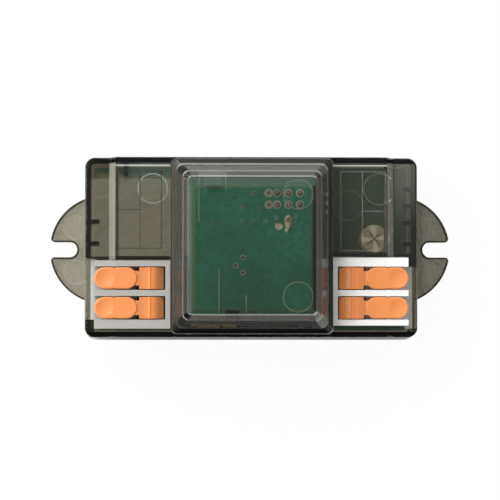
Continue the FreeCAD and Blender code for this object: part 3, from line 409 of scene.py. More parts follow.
class CasePlace:
    """Where on the case a face lies and which way it looks, as places and as masks from 0 to 1."""

    # How far a face's normal points a way, where a mask starts and where it is full
    FLAT = (0.99, 0.998)
    SLOPED = (0.45, 0.55)
    CROWN = (0.865, 0.90)
    SHOULDER = (0.93, 0.975)
    TO_FRONT = (0.05, 0.25)
    TO_SIDE = (0.1, 0.3)

    def __init__(self, finish):
        step = finish.soft_step
        self.finish = finish
        self.x, self.y, self.z = finish.place()
        self.side_way, self.along_way, self.up = finish.facing()
        self.right_side = step(self.x, -1.0, 1.0)
        above_plate = step(self.z, PLATE_TOP + 2.0, PLATE_TOP + 3.0)
        self.dome = step(self.z, WING_TOP + 1.0, WING_TOP + 2.0)
        self.inside = step(CASE_HALF_WIDTH - abs(self.y), WALL - 0.05, WALL + 0.05)
        self.flat = step(self.up, *self.FLAT)
        self.slope = finish.band(self.up, *self.SLOPED, 0.04)
        self.crown = finish.band(self.up, *self.CROWN, 0.01)
        self.roof = self.flat * above_plate * (1.0 - self.dome) * self.inside
        front_wall = step(0.0 - self.y, CASE_HALF_WIDTH - WALL, CASE_HALF_WIDTH - 1.0)
        self.front = finish.larger(step(0.0 - self.along_way, *self.TO_FRONT), front_wall)
        self.shoulder = finish.band(self.up, *self.SHOULDER, 0.01) * self.dome * (1.0 - self.front)
        self.to_left = step(0.0 - self.side_way, *self.TO_SIDE) * self.dome
        self.to_right = step(self.side_way, *self.TO_SIDE)
        # Above 0 in the rounded corners at the front right and the back left
        self.corner = 0.0 - self.side_way * self.along_way


def left_to_right(right, left_share, right_share):
    """A share that goes from one value to another as a mask of the right side goes from 0 to 1."""
    return left_share - right * (left_share - right_share)


def pin_marks(at, marks):
    """Thin rings where the mould's pins touched a face."""
    rings = 0.0
    for mark_x, mark_y, radius, face, strength in marks:
        distance = at.finish.distance(at.x - mark_x, at.y - mark_y)
        ring = (1.0 - at.finish.soft_step(abs(distance - radius), *RING_LINE)) * strength
        rings = ring * at.finish.band(at.z, face - NEAR_FACE, face + NEAR_FACE, 0.1) + rings
    return rings


def mould_lines(at):
    """Straight fine lines on the inside of the dome's roof."""
    marks = 0.0
    for line_x, start, end in DOME_LINES:
        line = 1.0 - at.finish.soft_step(abs(at.x - line_x), *FINE_LINE)
        marks = line * at.finish.band(at.y, start, end, 0.2) + marks
    return marks * at.finish.band(at.z, DOME_FACE - DOME_LINE_DEPTH, DOME_FACE + NEAR_FACE, 0.1)


def painted_edge_highlights(at):
    """Painted highlights: thin bright lines on the dome's rounded edges, stronger on some sides, after the
    photograph.
    """
    step = at.finish.soft_step
    outside = step(at.up, 0.3, 0.4) * (1.0 - step(at.up, 0.985, 0.995))
    turned = (0.1, 0.25)
    to_end = step(abs(at.side_way), *turned) * (1.0 - step(at.side_way, *turned) * RIGHT_END_HIGHLIGHT_LOSS)
    to_back = step(at.along_way, *turned)
    to_front = step(0.0 - at.along_way, *turned)
    lines = 0.0
    for low, high, end, back, front in DOME_EDGE_HIGHLIGHTS:
        strength = to_end * end + to_back * back + to_front * front
        lines = at.finish.band(at.z, low, high, 0.02) * strength + lines
    return lines * outside


def ear_outline(at):
    """A narrow band along the ears' outline and their slots, on their flat faces and down their edges, where
    shade is painted.
    """
    finish = at.finish
    out = abs(at.x)
    to_arc = EAR_RADIUS - finish.distance(out - EAR_CENTRE, at.y)
    to_slot = finish.distance(finish.math("MINIMUM", out - SLOT_CENTRE, 0.0), at.y) - SLOT_HALF
    on_face = 1.0 - finish.soft_step(finish.math("MINIMUM", to_arc, to_slot), *OUTLINE)
    on_edge = 1.0 - finish.soft_step(abs(at.up), 0.5, 0.8)
    beyond_case = finish.soft_step(out, CASE_HALF_LENGTH + 0.2, CASE_HALF_LENGTH + 0.5)
    return finish.larger(on_edge, on_face) * beyond_case


def clear_plastic(at, settings):
    """Clear plastic that lets shadow rays through, with less gloss where the key lamp would mirror in it."""
    finish = at.finish
    left_corner = finish.soft_step(at.corner, 0.005, 0.03) * finish.soft_step(0.0 - at.x, 10.0, 11.0)
    gloss = (1.0 - at.front * FRONT_GLOSS_LOSS) * (1.0 - left_corner) * (1.0 - at.to_left * LEFT_GLOSS_LOSS)
    glass = finish.principled(
        Base_Color=WHITE, Roughness=settings.roughness, IOR=settings.ior, Transmission_Weight=1.0,
        Coat_Weight=gloss * settings.coat, Coat_IOR=1.5, Coat_Roughness=settings.roughness,
        Normal=finish.bump(finish.noise(*RIPPLES), settings.ripple),
    )
    lamp_way = finish.node("ShaderNodeBsdfTransparent", None, {"Color": WHITE})
    return finish.mix_shader(finish.node("ShaderNodeLightPath", output="Is Shadow Ray"), glass, lamp_way)


def case_haze(at, settings):
    """The share of satin on the slopes, round the dome's flat top, on the roofs and the right end strip,
    partly painted light and shade.
    """
    # The dome's slopes, where the front one loses satin as painted shade
    dome_slope = at.slope * at.dome * (1.0 - at.front * FRONT_SLOPE_SHADE)
    end_slope = at.slope * (1.0 - at.dome) * at.inside
    # Round the flat top, more satin at the front as painted light and less at the left as painted shade
    crown = at.crown * (at.front * FRONT_CROWN_LIGHT - at.to_left * LEFT_CROWN_SHADE + 1.0)
    # Painted light on the strip at the right end
    strip = at.finish.soft_step(at.x, *STRIP_X) * at.flat * at.inside * at.finish.soft_step(at.y, *STRIP_Y)
    haze = dome_slope * settings.slope_haze + end_slope * settings.end_haze + crown * settings.crown_haze
    # The right roof's larger share of satin is painted light
    haze = haze + at.roof * (at.right_side + LEFT_ROOF) * settings.roof_haze + strip * settings.strip_light_haze
    return haze + settings.wall_haze


def front_rim_highlight(at):
    """The front edge of the base plate, where a highlight is painted."""
    rim = at.finish.soft_step(0.0 - at.y, CASE_HALF_WIDTH - 0.02, CASE_HALF_WIDTH + 0.05)
    return rim * (1.0 - at.finish.soft_step(at.z, PLATE_TOP, PLATE_TOP + 0.1))


def back_line_highlights(at):
    """The line along the back of each wing's roof, where a highlight is painted."""
    along = at.finish.band(abs(at.x), BACK_HIGHLIGHT_START, WING_END, 0.1)
    return at.roof * at.finish.band(at.y, *BACK_HIGHLIGHT, 0.06) * along


def grooves(at):
    """The floors of the lines engraved in the wings."""
    floor = at.finish.band(at.z, WING_TOP - 1.2 * GROOVE_DEPTH, WING_TOP - 0.8 * GROOVE_DEPTH, 0.01)
    return floor * at.finish.soft_step(at.up, 0.95, 0.99)


def window_sill_light(at):
    """The base plate's floor in the wire windows, where light is painted, more at the left."""
    finish = at.finish
    sill = finish.band(abs(at.x), *SILL_X, 0.2) * finish.band(at.y, *SILL_Y, 0.2)
    return sill * at.flat * left_to_right(at.right_side, LEFT_SILL_LIGHT_SHARE, RIGHT_SILL_LIGHT_SHARE)


def cover_patches(at, traces, paint):
    """The cover's satin patches of painted light: the paint with their tints in it, and their share."""
    finish = at.finish
    step = finish.soft_step
    # Painted light on the shoulders, warm at the left
    warm = at.shoulder * at.to_left * SHOULDER_LIGHT_SHARE
    cool_share = left_to_right(at.to_right, SHOULDER_LIGHT_SHARE, RIGHT_SHOULDER_LIGHT_SHARE)
    cool = at.shoulder * (1.0 - at.to_left) * cool_share
    # Painted light on the back and left margins of the flat top
    over_back = step(at.y, *MARGIN_BACK) * MARGIN_BACK_LIGHT_SHARE
    over_left = step(0.0 - at.x, *MARGIN_LEFT) * MARGIN_LEFT_LIGHT_SHARE
    margin = finish.larger(over_back, over_left) * at.dome * at.flat
    # Painted light over the block and the clip
    block = finish.band(at.x, *BLOCK_X, 0.1) * step(at.y, *BLOCK_Y) * at.crown
    clip = finish.band(at.x, *CLIP_X, 0.2) * step(at.y, *CLIP_Y) * at.dome * at.flat
    # A painted highlight on the dome's corner at the front right
    corner = step(at.corner, 0.01, 0.05) * at.right_side * at.dome
    # A cool patch of painted light on the back of the left wing's roof
    teal = at.roof * step(at.y, *TEAL_Y) * finish.band(at.x, *TEAL_X, 6.0) * TEAL_LIGHT_SHARE
    paint = finish.colour_mix(step(margin, 0.0, 0.05), paint, MARGIN_PAINT)
    paint = finish.colour_mix(step(warm, 0.0, 0.05), paint, WARM_LIGHT_PAINT)
    between_traces = 1.0 - step(traces, 0.0, 0.05)
    paint = finish.colour_mix(step(teal, 0.0, 0.01) * between_traces, paint, TEAL_LIGHT_PAINT)
    share = cool + warm + margin + teal + block * BLOCK_LIGHT_SHARE + clip * CLIP_LIGHT_SHARE + corner * CORNER_HIGHLIGHT_SHARE
    return paint, share


def with_painted_shade(at, surface):
    """The base plate's surface with painted shade over the right ear, the inner floor and the ears' outline.

    The right ear's part stands in for the shadow of the case, which the photograph shows there. The floor's
    part is shade under the case, and the outline's is shade along the ears' edges.
    """
    finish = at.finish
    step = finish.soft_step
    # A painted shadow of the case over the right ear, strongest at its root
    right_ear_shadow = step(at.x, CASE_HALF_LENGTH, CASE_HALF_LENGTH + 1.0) * at.flat
    outwards = step(at.x, CASE_HALF_LENGTH, CASE_HALF_LENGTH + EAR_ROOT_LENGTH)
    right_ear_shadow = right_ear_shadow * left_to_right(outwards, EAR_ROOT_SHADOW_SHARE, EAR_TIP_SHADOW_SHARE)
    # Painted shade on the base plate's floor inside the case, darker and cooler
    floor = finish.band(at.x, -FLOOR_X, FLOOR_X, 0.2) * finish.band(at.y, -FLOOR_Y, FLOOR_Y, 0.2) * at.flat
    # Painted shade along the ears' outlines and edges
    share = finish.larger(right_ear_shadow + floor * FLOOR_SHADE_SHARE, ear_outline(at) * OUTLINE_SHADE_SHARE)
    paint = finish.colour_mix(floor, EAR_SHADE_PAINT, FLOOR_SHADE_PAINT)
    painted_shade_surface = finish.principled(Base_Color=paint, Roughness=0.5, Specular_IOR_Level=0.2)
    return finish.mix_shader(share, surface, painted_shade_surface)


def smoke_plastic(name, settings, marks, is_cover):
    """Clear smoke-tinted plastic, which darkens with its thickness, with satin slopes and marks, painted
    highlights and painted light and shade.
    """
    finish = Finish(name)
    at = CasePlace(finish)
    # A highlight painted on the base plate's front rim
    rim = front_rim_highlight(at) * settings.rim_highlight_haze
    # The mould's pin marks, and the highlight painted along the back of the wings
    traces = pin_marks(at, marks) * settings.mark_haze + back_line_highlights(at) * settings.back_highlight_haze
    if is_cover:
        # On the cover, also the mould's lines and the highlights painted on the dome's edges
        traces = traces + mould_lines(at) * settings.mark_haze + painted_edge_highlights(at) * settings.edge_highlight_haze
    else:
        # On the base plate, painted light on the floor of the wire windows
        traces = traces + window_sill_light(at)
    # The bright paint of the mould's marks and of the painted highlights and painted light
    bright = opaque(settings.line)
    paint = finish.colour_mix(finish.soft_step(rim + traces, 0.0, 0.1), opaque(settings.haze), bright)
    haze = case_haze(at, settings) + rim + traces
    if is_cover:
        paint, patches = cover_patches(at, traces, paint)
        haze = haze + patches
    # Painted shade in the engraved lines at the left end, and a painted highlight in them at the right end
    groove = grooves(at)
    groove_shade_and_highlight = finish.colour_mix(at.right_side, opaque(settings.groove), bright)
    paint = finish.colour_mix(groove, paint, groove_shade_and_highlight)
    haze = haze + groove * left_to_right(at.right_side, LEFT_GROOVE_SHADE_SHARE, RIGHT_GROOVE_HIGHLIGHT_SHARE)
    satin = finish.principled(Base_Color=paint, Roughness=0.5, Specular_IOR_Level=0.2)
    surface = finish.mix_shader(haze, clear_plastic(at, settings), satin)
    if not is_cover:
        surface = with_painted_shade(at, surface)
    density = settings.density if is_cover else settings.base_density
    inputs = {"Color": opaque(settings.tint), "Density": density / MM}
    return finish.shade(surface, finish.node("ShaderNodeVolumeAbsorption", None, inputs))


def clouded(finish, colour, shade, per_mm, detail):
    """A colour that clouds of noise darken by up to a share."""
    return finish.colour_mix(finish.noise(per_mm, detail), opaque(colour, 1 - shade), opaque(colour))


def moulded(finish, paint, roughness, coat_weight=0.0):
    """Finish a material as moulded plastic of a paint, with a fine grain and uneven gloss."""
    shader = finish.principled(
        Base_Color=paint, Roughness=finish.uneven(roughness, 0.12, *RUBBED), Coat_Weight=coat_weight,
        Coat_Roughness=0.1, Normal=finish.bump(finish.noise(*GRAIN), 0.01),
    )
    return finish.shade(shader)


def plain_plastic(name, colour, roughness, shade=0.06, coat_weight=0.0):
    """Moulded plastic, lacquer, print or dull metal of one slightly uneven colour."""
    finish = Finish(name)
    return moulded(finish, clouded(finish, colour, shade, *CLOUDS), roughness, coat_weight)


def lever_plastic(name, colour):
    """The levers' plastic, with painted light on the drum's turned-away faces and a painted shadow at the
    neck.
    """
    finish = Finish(name)
    x, _, z = finish.place()
    out = abs(x)
    turned_away = 1.0 - finish.soft_step(finish.facing()[2], 0.1, 0.98)
    drum = (1.0 - finish.soft_step(out, *DRUM_X)) * finish.soft_step(z, PIVOT_Z, PIVOT_Z + 0.5)
    neck = finish.soft_step(out, *NECK_START) * (1.0 - finish.soft_step(out, *NECK_END))
    paint = clouded(finish, colour, 0.06, *CLOUDS)
    # Painted light on the drum's turned-away faces
    paint = finish.colour_mix(turned_away * drum, paint, DRUM_LIGHT_PAINT)
    # A painted shadow at the neck, under the paddle
    paint = finish.colour_mix(neck * NECK_SHADOW_SHARE, paint, opaque(colour, 0.5))
    return moulded(finish, paint, 0.42)


def metal(name, colour, roughness):
    """Bare metal with fine scratches and uneven gloss."""
    finish = Finish(name)
    shader = finish.principled(
        Base_Color=clouded(finish, colour, 0.1, *METAL_CLOUDS), Metallic=1.0,
        Roughness=finish.uneven(roughness, 0.2, *METAL_RUBBED),
        Normal=finish.bump(finish.noise(*METAL_GRAIN), 0.008),
    )
    return finish.shade(shader)


def can_metal(name, colour, sleeve, centre, radius):
    """A can with its highlights painted on its top as pale and dark wedges, a pressed cross with painted
    shade, and its sleeve lapped over.
    """
    finish = Finish(name)
    x, y, _ = finish.place()
    across, along = x - centre[0], y - centre[1]
    distance = finish.distance(across, along)
    angle = finish.math("ARCTAN2", along, across)
    ragged = finish.noise(0.5, 3.0) * RAGGED
    broad = finish.math("SINE", angle * BROAD_SPOKES + ragged) * 0.5 + 0.5
    fine = finish.math("SINE", angle * FINE_SPOKES + ragged * 5.0) * 0.5 + 0.5
    pale = finish.soft_step(broad, 0.45, 0.95) * 0.9 + fine * 0.2
    roof = finish.soft_step(finish.facing()[2], 0.6, 0.9)
    cross = 0.0
    for turn in CROSS_TURNS:
        line = abs(across * math.sin(turn) - along * math.cos(turn))
        cross = finish.larger(cross, 1.0 - finish.soft_step(line, *CROSS_LINE))
    cross = cross * (1.0 - finish.soft_step(distance, radius * 0.62, radius * 0.7)) * roof
    lap = finish.soft_step(distance, radius * 0.985, radius * 0.99) * (1.0 - roof)
    # Highlights painted as pale and dark spokes on the can's top
    paint = finish.colour_mix(pale, opaque(colour, 0.5), opaque(colour))
    # Painted shade in the pressed cross
    paint = finish.colour_mix(cross * 0.8, paint, (0.05, 0.05, 0.05, 1.0))
    paint = finish.colour_mix(lap, paint, opaque(sleeve))
    shader = finish.principled(
        Base_Color=paint, Metallic=(1.0 - roof) * (1.0 - lap), Roughness=fine * 0.1 + 0.25,
        Normal=finish.bump(fine * roof + cross * -2.0, 0.02),
    )
    return finish.shade(shader)


def bright_solder(name):
    """Solder laid on by hand: bright, with dark flux in its hollows."""
    finish = Finish(name)
    hollow = finish.soft_step(finish.noise(0.9, 3.0), 0.42, 0.62)
    paint = finish.colour_mix(hollow, WHITE, (0.30, 0.32, 0.28, 1.0))
    shader = finish.principled(
        Base_Color=paint, Roughness=finish.uneven(0.25, 0.2, 2.0, 3.0), Normal=finish.bump(hollow, 0.15))
    return finish.shade(shader)


def radar_lit_margin(finish):
    """The share of painted light on the left and back margin of the radar board."""
    x, y, _ = finish.place()
    near_left = 1.0 - finish.soft_step(x, RADAR_LOW.x, RADAR_LOW.x + RADAR_MARGIN_LEFT)
    near_back = finish.soft_step(y, *(RADAR_HIGH.y - inset for inset in RADAR_MARGIN_BACK))
    return finish.larger(near_left, near_back) * RADAR_MARGIN_LIGHT_SHARE


def main_margin(finish):
    """The share of bare laminate on the left margin of the main board, short of its back end."""
    x, y, _ = finish.place()
    left = finish.soft_step(0.0 - x, *MAIN_MARGIN_X)
    return left * (1.0 - finish.soft_step(y, *MAIN_MARGIN_Y)) * MAIN_MARGIN_SHARE


def green_board(name, light, dark, edge, margin, pale):
    """A printed board: mottled green lacquer over copper and glass cloth, with a pale margin and cut edges.

    On the radar board, the margin and the lacquer's lighter back are painted light, after the photograph.
    """
    finish = Finish(name)
    cloud = finish.soft_step(finish.noise(0.12, 3.0), 0.3, 0.7)
    mottle = finish.soft_step(finish.noise(1.1, 4.0, 0.6), 0.35, 0.65)
    weave = finish.noise(4.0, 2.0)
    # The lacquer lighter towards the back, as painted light
    lit_towards_back = finish.soft_step(finish.place()[1], -16.0, 16.0)
    lacquer = finish.colour_mix(cloud * 0.4 + lit_towards_back * 0.6, opaque(dark), opaque(light))
    lacquer = finish.colour_mix(mottle * 0.35 + weave * 0.2, lacquer, opaque(dark, 0.5))
    lacquer = finish.colour_mix(margin(finish), lacquer, pale)
    flat = finish.soft_step(abs(finish.facing()[2]), 0.5, 0.8)
    shader = finish.principled(
        Base_Color=finish.colour_mix(flat, edge, lacquer), Roughness=finish.uneven(0.35, 0.1, 1.0, 3.0),
        Coat_Weight=flat * 0.4, Coat_Roughness=0.15, Normal=finish.bump(weave, 0.01),
    )
    return finish.shade(shader)


def finish_piece(name, shape, material):
    """Make a mesh object from a bmesh, in millimetres, which rides on the case."""
    bmesh.ops.scale(shape, vec=(MM, MM, MM), verts=shape.verts)
    mesh = bpy.data.meshes.new(name)
    shape.to_mesh(mesh)
    shape.free()
    piece = bpy.data.objects.new(name, mesh)
    bpy.context.scene.collection.objects.link(piece)
    coat(material, piece)
    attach(piece, "case")


def add_disc(shape, x, y, base, radius, height, bevel):
    """A flat disc with a rounded upper edge."""
    made = bmesh.ops.create_cone(
        shape, cap_ends=True, segments=32, radius1=radius, radius2=radius, depth=height,
        matrix=Matrix.Translation((x, y, base + height / 2)))
    upper = [edge for edge in shape.edges if all(
        vert in made["verts"] and vert.co.z > base + height * 0.9 for vert in edge.verts)]
    bmesh.ops.bevel(shape, geom=upper, offset=bevel, segments=2, affect="EDGES", profile=0.5, material=-1)


def add_drop(shape, x, y, base, half_x, half_y, height):
    """A drop of solder: half of a flattened ball."""
    place = Matrix.Translation((x, y, base)) @ Matrix.Diagonal((half_x, half_y, height, 1.0))
    made = bmesh.ops.create_uvsphere(shape, u_segments=28, v_segments=14, radius=1.0, matrix=place)
    below = made["verts"][0].co.copy()
    below.z = base
    geometry = list({item for vert in made["verts"] for item in (vert, *vert.link_edges, *vert.link_faces)})
    cut = bmesh.ops.bisect_plane(
        shape, geom=geometry, dist=1e-6, plane_co=below, plane_no=(0, 0, -1), clear_outer=True)
    rim = [item for item in cut["geom_cut"] if isinstance(item, bmesh.types.BMEdge)]
    bmesh.ops.edgeloop_fill(shape, edges=rim)


def add_plate(shape, x, y, base, half_x, half_y, height, bevel):
    """A small flat plate with rounded edges."""
    middle = Matrix.Translation((x, y, base + height / 2))
    size = Matrix.Diagonal((2 * half_x, 2 * half_y, height, 1.0))
    made = bmesh.ops.create_cube(shape, size=1.0, matrix=middle @ size)
    edges = list({edge for vert in made["verts"] for edge in vert.link_edges})
    bmesh.ops.bevel(shape, geom=edges, offset=bevel, segments=2, affect="EDGES", profile=0.5, material=-1)


class SmokeSettings(bpy.types.PropertyGroup):
    """The clear plastic of the case."""

    tint: bpy.props.FloatVectorProperty(
        name="Tint", description="Colour that the plastic lets through best", subtype="COLOR",
        size=3, min=0.0, max=1.0, default=(0.55, 0.52, 0.41))
    density: bpy.props.FloatProperty(
        name="Density", description="How fast the cover's plastic darkens, per millimetre", default=1.22)
    base_density: bpy.props.FloatProperty(
        name="Base density", description="How fast the base plate darkens, per millimetre", default=1.08)
    haze: bpy.props.FloatVectorProperty(
        name="Haze", description="Colour of the satin surface", subtype="COLOR",
        size=3, min=0.0, max=1.0, default=(0.62, 0.62, 0.56))
    # The dark colour painted as shade in the engraved lines at the left end
    groove: bpy.props.FloatVectorProperty(
        name="Groove", description="Colour of the engraved lines", subtype="COLOR",
        size=3, min=0.0, max=1.0, default=(0.03, 0.032, 0.028))
    # Colour of the mould's marks, and of the painted highlights and painted light on edges, the front rim,
    # the back, the sills and the right grooves
    line: bpy.props.FloatVectorProperty(
        name="Lines", description="Colour of the bright edges and marks", subtype="COLOR",
        size=3, min=0.0, max=1.0, default=(0.88, 0.90, 0.92))
    slope_haze: bpy.props.FloatProperty(
        name="Slope haze", description="Share of satin on the dome's slopes", default=0.06, subtype="FACTOR")
    end_haze: bpy.props.FloatProperty(
        name="End haze", description="Share of satin on the slopes at the ends",
        default=0.27, subtype="FACTOR")
    # The share of satin in the highlights painted on the dome's edges
    edge_highlight_haze: bpy.props.FloatProperty(
        name="Edge haze", description="Share of satin on the dome's edges", default=0.36, subtype="FACTOR")
    # The share of satin in the highlight painted on the base plate's front rim
    rim_highlight_haze: bpy.props.FloatProperty(
        name="Rim haze", description="Share of satin on the base plate's rim", default=0.9, subtype="FACTOR")
    mark_haze: bpy.props.FloatProperty(
        name="Mark haze", description="Share of satin on the mould's marks", default=0.5, subtype="FACTOR")
    crown_haze: bpy.props.FloatProperty(
        name="Crown haze", description="Share of satin round the flat top", default=0.08, subtype="FACTOR")
    # The share of satin on the wings' roofs, which the right roof has more of as painted light
    roof_haze: bpy.props.FloatProperty(
        name="Roof haze", description="Share of satin on the wings", default=0.014, subtype="FACTOR")
    # The share of satin painted as light on the right end strip
    strip_light_haze: bpy.props.FloatProperty(
        name="Strip haze", description="Share of satin on the right end strip",
        default=0.09, subtype="FACTOR")
    # The share of satin in the highlight painted along the back of the wings
    back_highlight_haze: bpy.props.FloatProperty(
        name="Line haze", description="Share of satin on the line along the back",
        default=0.42, subtype="FACTOR")
    coat: bpy.props.FloatProperty(
        name="Gloss", description="Share of gloss on the plastic", default=0.6, subtype="FACTOR")
    wall_haze: bpy.props.FloatProperty(
        name="Wall haze", description="Share of satin everywhere", default=0.004, subtype="FACTOR")
    roughness: bpy.props.FloatProperty(
        name="Roughness", description="Roughness of the moulded surface", default=0.03, subtype="FACTOR")
    ior: bpy.props.FloatProperty(name="Refraction", description="Refractive index", default=1.2)
    ripple: bpy.props.FloatProperty(
        name="Ripple", description="Depth of the waves in the surface, in millimetres", default=0.004)


class BoardSettings(bpy.types.PropertyGroup):
    """The printed boards."""

    # The lighter green, which the radar board's lacquer takes in clouds and, as painted light, towards its
    # back
    mask_light: bpy.props.FloatVectorProperty(
        name="Light lacquer", description="Lighter green of the lacquer", subtype="COLOR",
        size=3, min=0.0, max=1.0, default=(0.062, 0.500, 0.460))
    deep: bpy.props.FloatVectorProperty(
        name="Main board", description="Green of the board deep in the case", subtype="COLOR",
        size=3, min=0.0, max=1.0, default=(0.035, 0.120, 0.095))
    mask_dark: bpy.props.FloatVectorProperty(
        name="Dark lacquer", description="Darker green of the lacquer", subtype="COLOR",
        size=3, min=0.0, max=1.0, default=(0.022, 0.250, 0.210))


class TerminalSettings(bpy.types.PropertyGroup):
    """The lever terminals."""

    lever: bpy.props.FloatVectorProperty(
        name="Lever", description="Orange of the levers", subtype="COLOR",
        size=3, min=0.0, max=1.0, default=(0.86, 0.29, 0.085))
    grey: bpy.props.FloatVectorProperty(
        name="Grey housing", description="Colour of the left housing", subtype="COLOR",
        size=3, min=0.0, max=1.0, default=(0.43, 0.42, 0.395))
    white: bpy.props.FloatVectorProperty(
        name="White housing", description="Colour of the right housing", subtype="COLOR",
        size=3, min=0.0, max=1.0, default=(0.93, 0.93, 0.92))


class PartSettings(bpy.types.PropertyGroup):
    """The electronic parts."""

    sleeve: bpy.props.FloatVectorProperty(
        name="Sleeve", description="Olive of the capacitors' sleeves", subtype="COLOR",
        size=3, min=0.0, max=1.0, default=(0.62, 0.60, 0.12))


class StageSettings(bpy.types.PropertyGroup):
    """Camera, lamps and floor."""

    camera_place: bpy.props.FloatVectorProperty(
        name="Camera place", description="Where the camera stands", subtype="TRANSLATION",
        size=3, default=(-0.0117, -0.0218, 0.500))
    lens: bpy.props.FloatProperty(
        name="Lens", description="Focal length on a 36 mm wide sensor, in millimetres", default=156.65)
    key: bpy.props.FloatProperty(
        name="Key lamp", description="Power of the key lamp", default=11.1, subtype="POWER")
    fill: bpy.props.FloatProperty(name="Fill", description="Strength of the sky overhead", default=0.28)
    ring: bpy.props.FloatProperty(name="Ring", description="Strength added lower in the sky", default=0.10)
    low: bpy.props.FloatProperty(name="Low light", description="Strength added near the floor", default=0.95)
    ring_side: bpy.props.FloatProperty(
        name="Back and left", description="Strength added at the back and left", default=1.1)


class SENSOR_OT_case(bpy.types.Operator):
    """Finish the smoke plastic case"""

    bl_idname = "sensor.case"
    bl_label = "Case"

    def execute(self, context):
        settings = context.scene.sensor_smoke
        coat(smoke_plastic("smoke base", settings, EAR_MARKS, is_cover=False), "base_plate")
        coat(smoke_plastic("smoke cover", settings, COVER_MARKS, is_cover=True), "top_cover")
        return {"FINISHED"}


class SENSOR_OT_boards(bpy.types.Operator):
    """Finish the boards, their pads and the header"""

    bl_idname = "sensor.boards"
    bl_label = "Boards"

    def execute(self, context):
        settings = context.scene.sensor_board
        light, dark, deep = settings.mask_light, settings.mask_dark, settings.deep
        radar = green_board("radar lacquer", light, dark, RADAR_EDGE, radar_lit_margin, RADAR_MARGIN_LIGHT_PAINT)
        main_green = green_board("main lacquer", deep, deep, LAMINATE, main_margin, LAMINATE)
        coat(radar, "radar_board")
        coat(main_green, "main_board")
        coat(plain_plastic("tinned pads", (0.56, 0.66, 0.72), 0.5, shade=0.3), "radar_pads")
        solder = plain_plastic("solder", SOLDER_GREY, 0.4, shade=0.4, coat_weight=0.2)
        coat(solder, "radar_solder_joints")
        coat(metal("tinned pins", (0.70, 0.68, 0.64), 0.3), "header_pins")
        black = plain_plastic("header plastic", (0.03, 0.03, 0.032), 0.45)
        coat(black, "header_socket", "header_spacer", "transformer_bobbin")
        return {"FINISHED"}


class SENSOR_OT_board_details(bpy.types.Operator):
    """Add the vias, solder, bare pads and printed lines of the radar board"""

    bl_idname = "sensor.board_details"
    bl_label = "Board details"

    def execute(self, context):
        rings = bmesh.new()
        holes = bmesh.new()
        for x, y, radius in VIAS + DOTS:
            add_disc(rings, x, y, RADAR_TOP, radius, PAD_HEIGHT, PAD_ROUND)
            # A dark disc in each via and dot, painted as the shade in its hole
            add_disc(holes, x, y, RADAR_TOP + HOLE_BASE, radius * HOLE_SHARE, HOLE_HEIGHT, HOLE_ROUND)
        tinned = plain_plastic("via rings", (0.34, 0.48, 0.46), 0.45, shade=0.4)
        finish_piece("via_rings", rings, tinned)
        dark = plain_plastic("via hole shade", (0.09, 0.09, 0.09), 0.6, shade=0.4)
        finish_piece("via_hole_shade", holes, dark)

        fills = bmesh.new()
        for x, y, radius in FILLS:
            add_disc(fills, x, y, RADAR_TOP, radius, FILL_HEIGHT, FILL_ROUND)
        filled = plain_plastic("filled pads", SOLDER_GREY, 0.4, shade=0.4, coat_weight=0.2)
        finish_piece("filled_pads", fills, filled)

        drops = bmesh.new()
        for x, y, half_x, half_y, height in SOLDER_DROPS:
            add_drop(drops, x, y, RADAR_TOP, half_x, half_y, height)
        finish_piece("hand_soldered_joints", drops, bright_solder("hand solder"))

        pads = bmesh.new()
        for x, y in BARE_PADS:
            add_plate(pads, x, y, RADAR_TOP, BARE_PAD_HALF, BARE_PAD_HALF, PAD_HEIGHT, PAD_ROUND)
        bare = plain_plastic("bare pads", (0.16, 0.50, 0.56), 0.4, shade=0.5)
        finish_piece("bare_pads", pads, bare)

        prints = bmesh.new()
        for start, end, y in PRINTED_LINES:
            middle, half_length = (start + end) / 2, (end - start) / 2
            add_plate(prints, middle, y, RADAR_TOP, half_length, PRINT_HALF_WIDTH, PRINT_HEIGHT, PRINT_ROUND)
        ink = plain_plastic("printed lines", (0.22, 0.42, 0.33), 0.6, shade=0.5)
        finish_piece("printed_lines", prints, ink)
        return {"FINISHED"}


class SENSOR_OT_terminals(bpy.types.Operator):
    """Finish the lever terminals"""

    bl_idname = "sensor.terminals"
    bl_label = "Terminals"

    def execute(self, context):
        settings = context.scene.sensor_terminal
        coat(plain_plastic("grey housing", settings.grey, 0.5), "left_terminal_housing")
        coat(plain_plastic("white housing", settings.white, 0.5, shade=0.02), "right_terminal_housing")
        orange = lever_plastic("orange levers", settings.lever)
        coat(orange, "left_back_lever", "left_front_lever", "right_back_lever", "right_front_lever")
        coat(metal("contact copper", (0.72, 0.62, 0.5), 0.3), "left_busbars", "right_busbars")
        coat(metal("spring steel", (0.62, 0.62, 0.62), 0.25), "left_clamp_springs", "right_clamp_springs")
        return {"FINISHED"}


class SENSOR_OT_parts(bpy.types.Operator):
    """Finish the electronic parts inside the case"""

    bl_idname = "sensor.parts"
    bl_label = "Electronic parts"

    def execute(self, context):
        settings = context.scene.sensor_parts
        coat(metal("tinned leads", (0.66, 0.65, 0.62), 0.3), "relay_pins", "transformer_pins",
             "film_capacitor_leads", "varistor_leads", "fuse_resistor_leads", "bulk_capacitor_leads",
             "filter_capacitor_leads")
        for can in ("bulk_capacitor_can", "filter_capacitor_can"):
            low, high = node_box(can)
            centre = ((low[0] + high[0]) / 2, (low[1] + high[1]) / 2)
            radius = (high[0] - low[0]) / 2
            coat(can_metal(can + " metal", WHITE[:3], settings.sleeve, centre, radius), can)
        coat(plain_plastic("capacitor sleeve", settings.sleeve, 0.3), "bulk_capacitor_sleeve",
             "filter_capacitor_sleeve")
        for name, colour, roughness, nodes in PLAIN_PARTS:
            coat(plain_plastic(name, colour, roughness), *nodes)
        return {"FINISHED"}


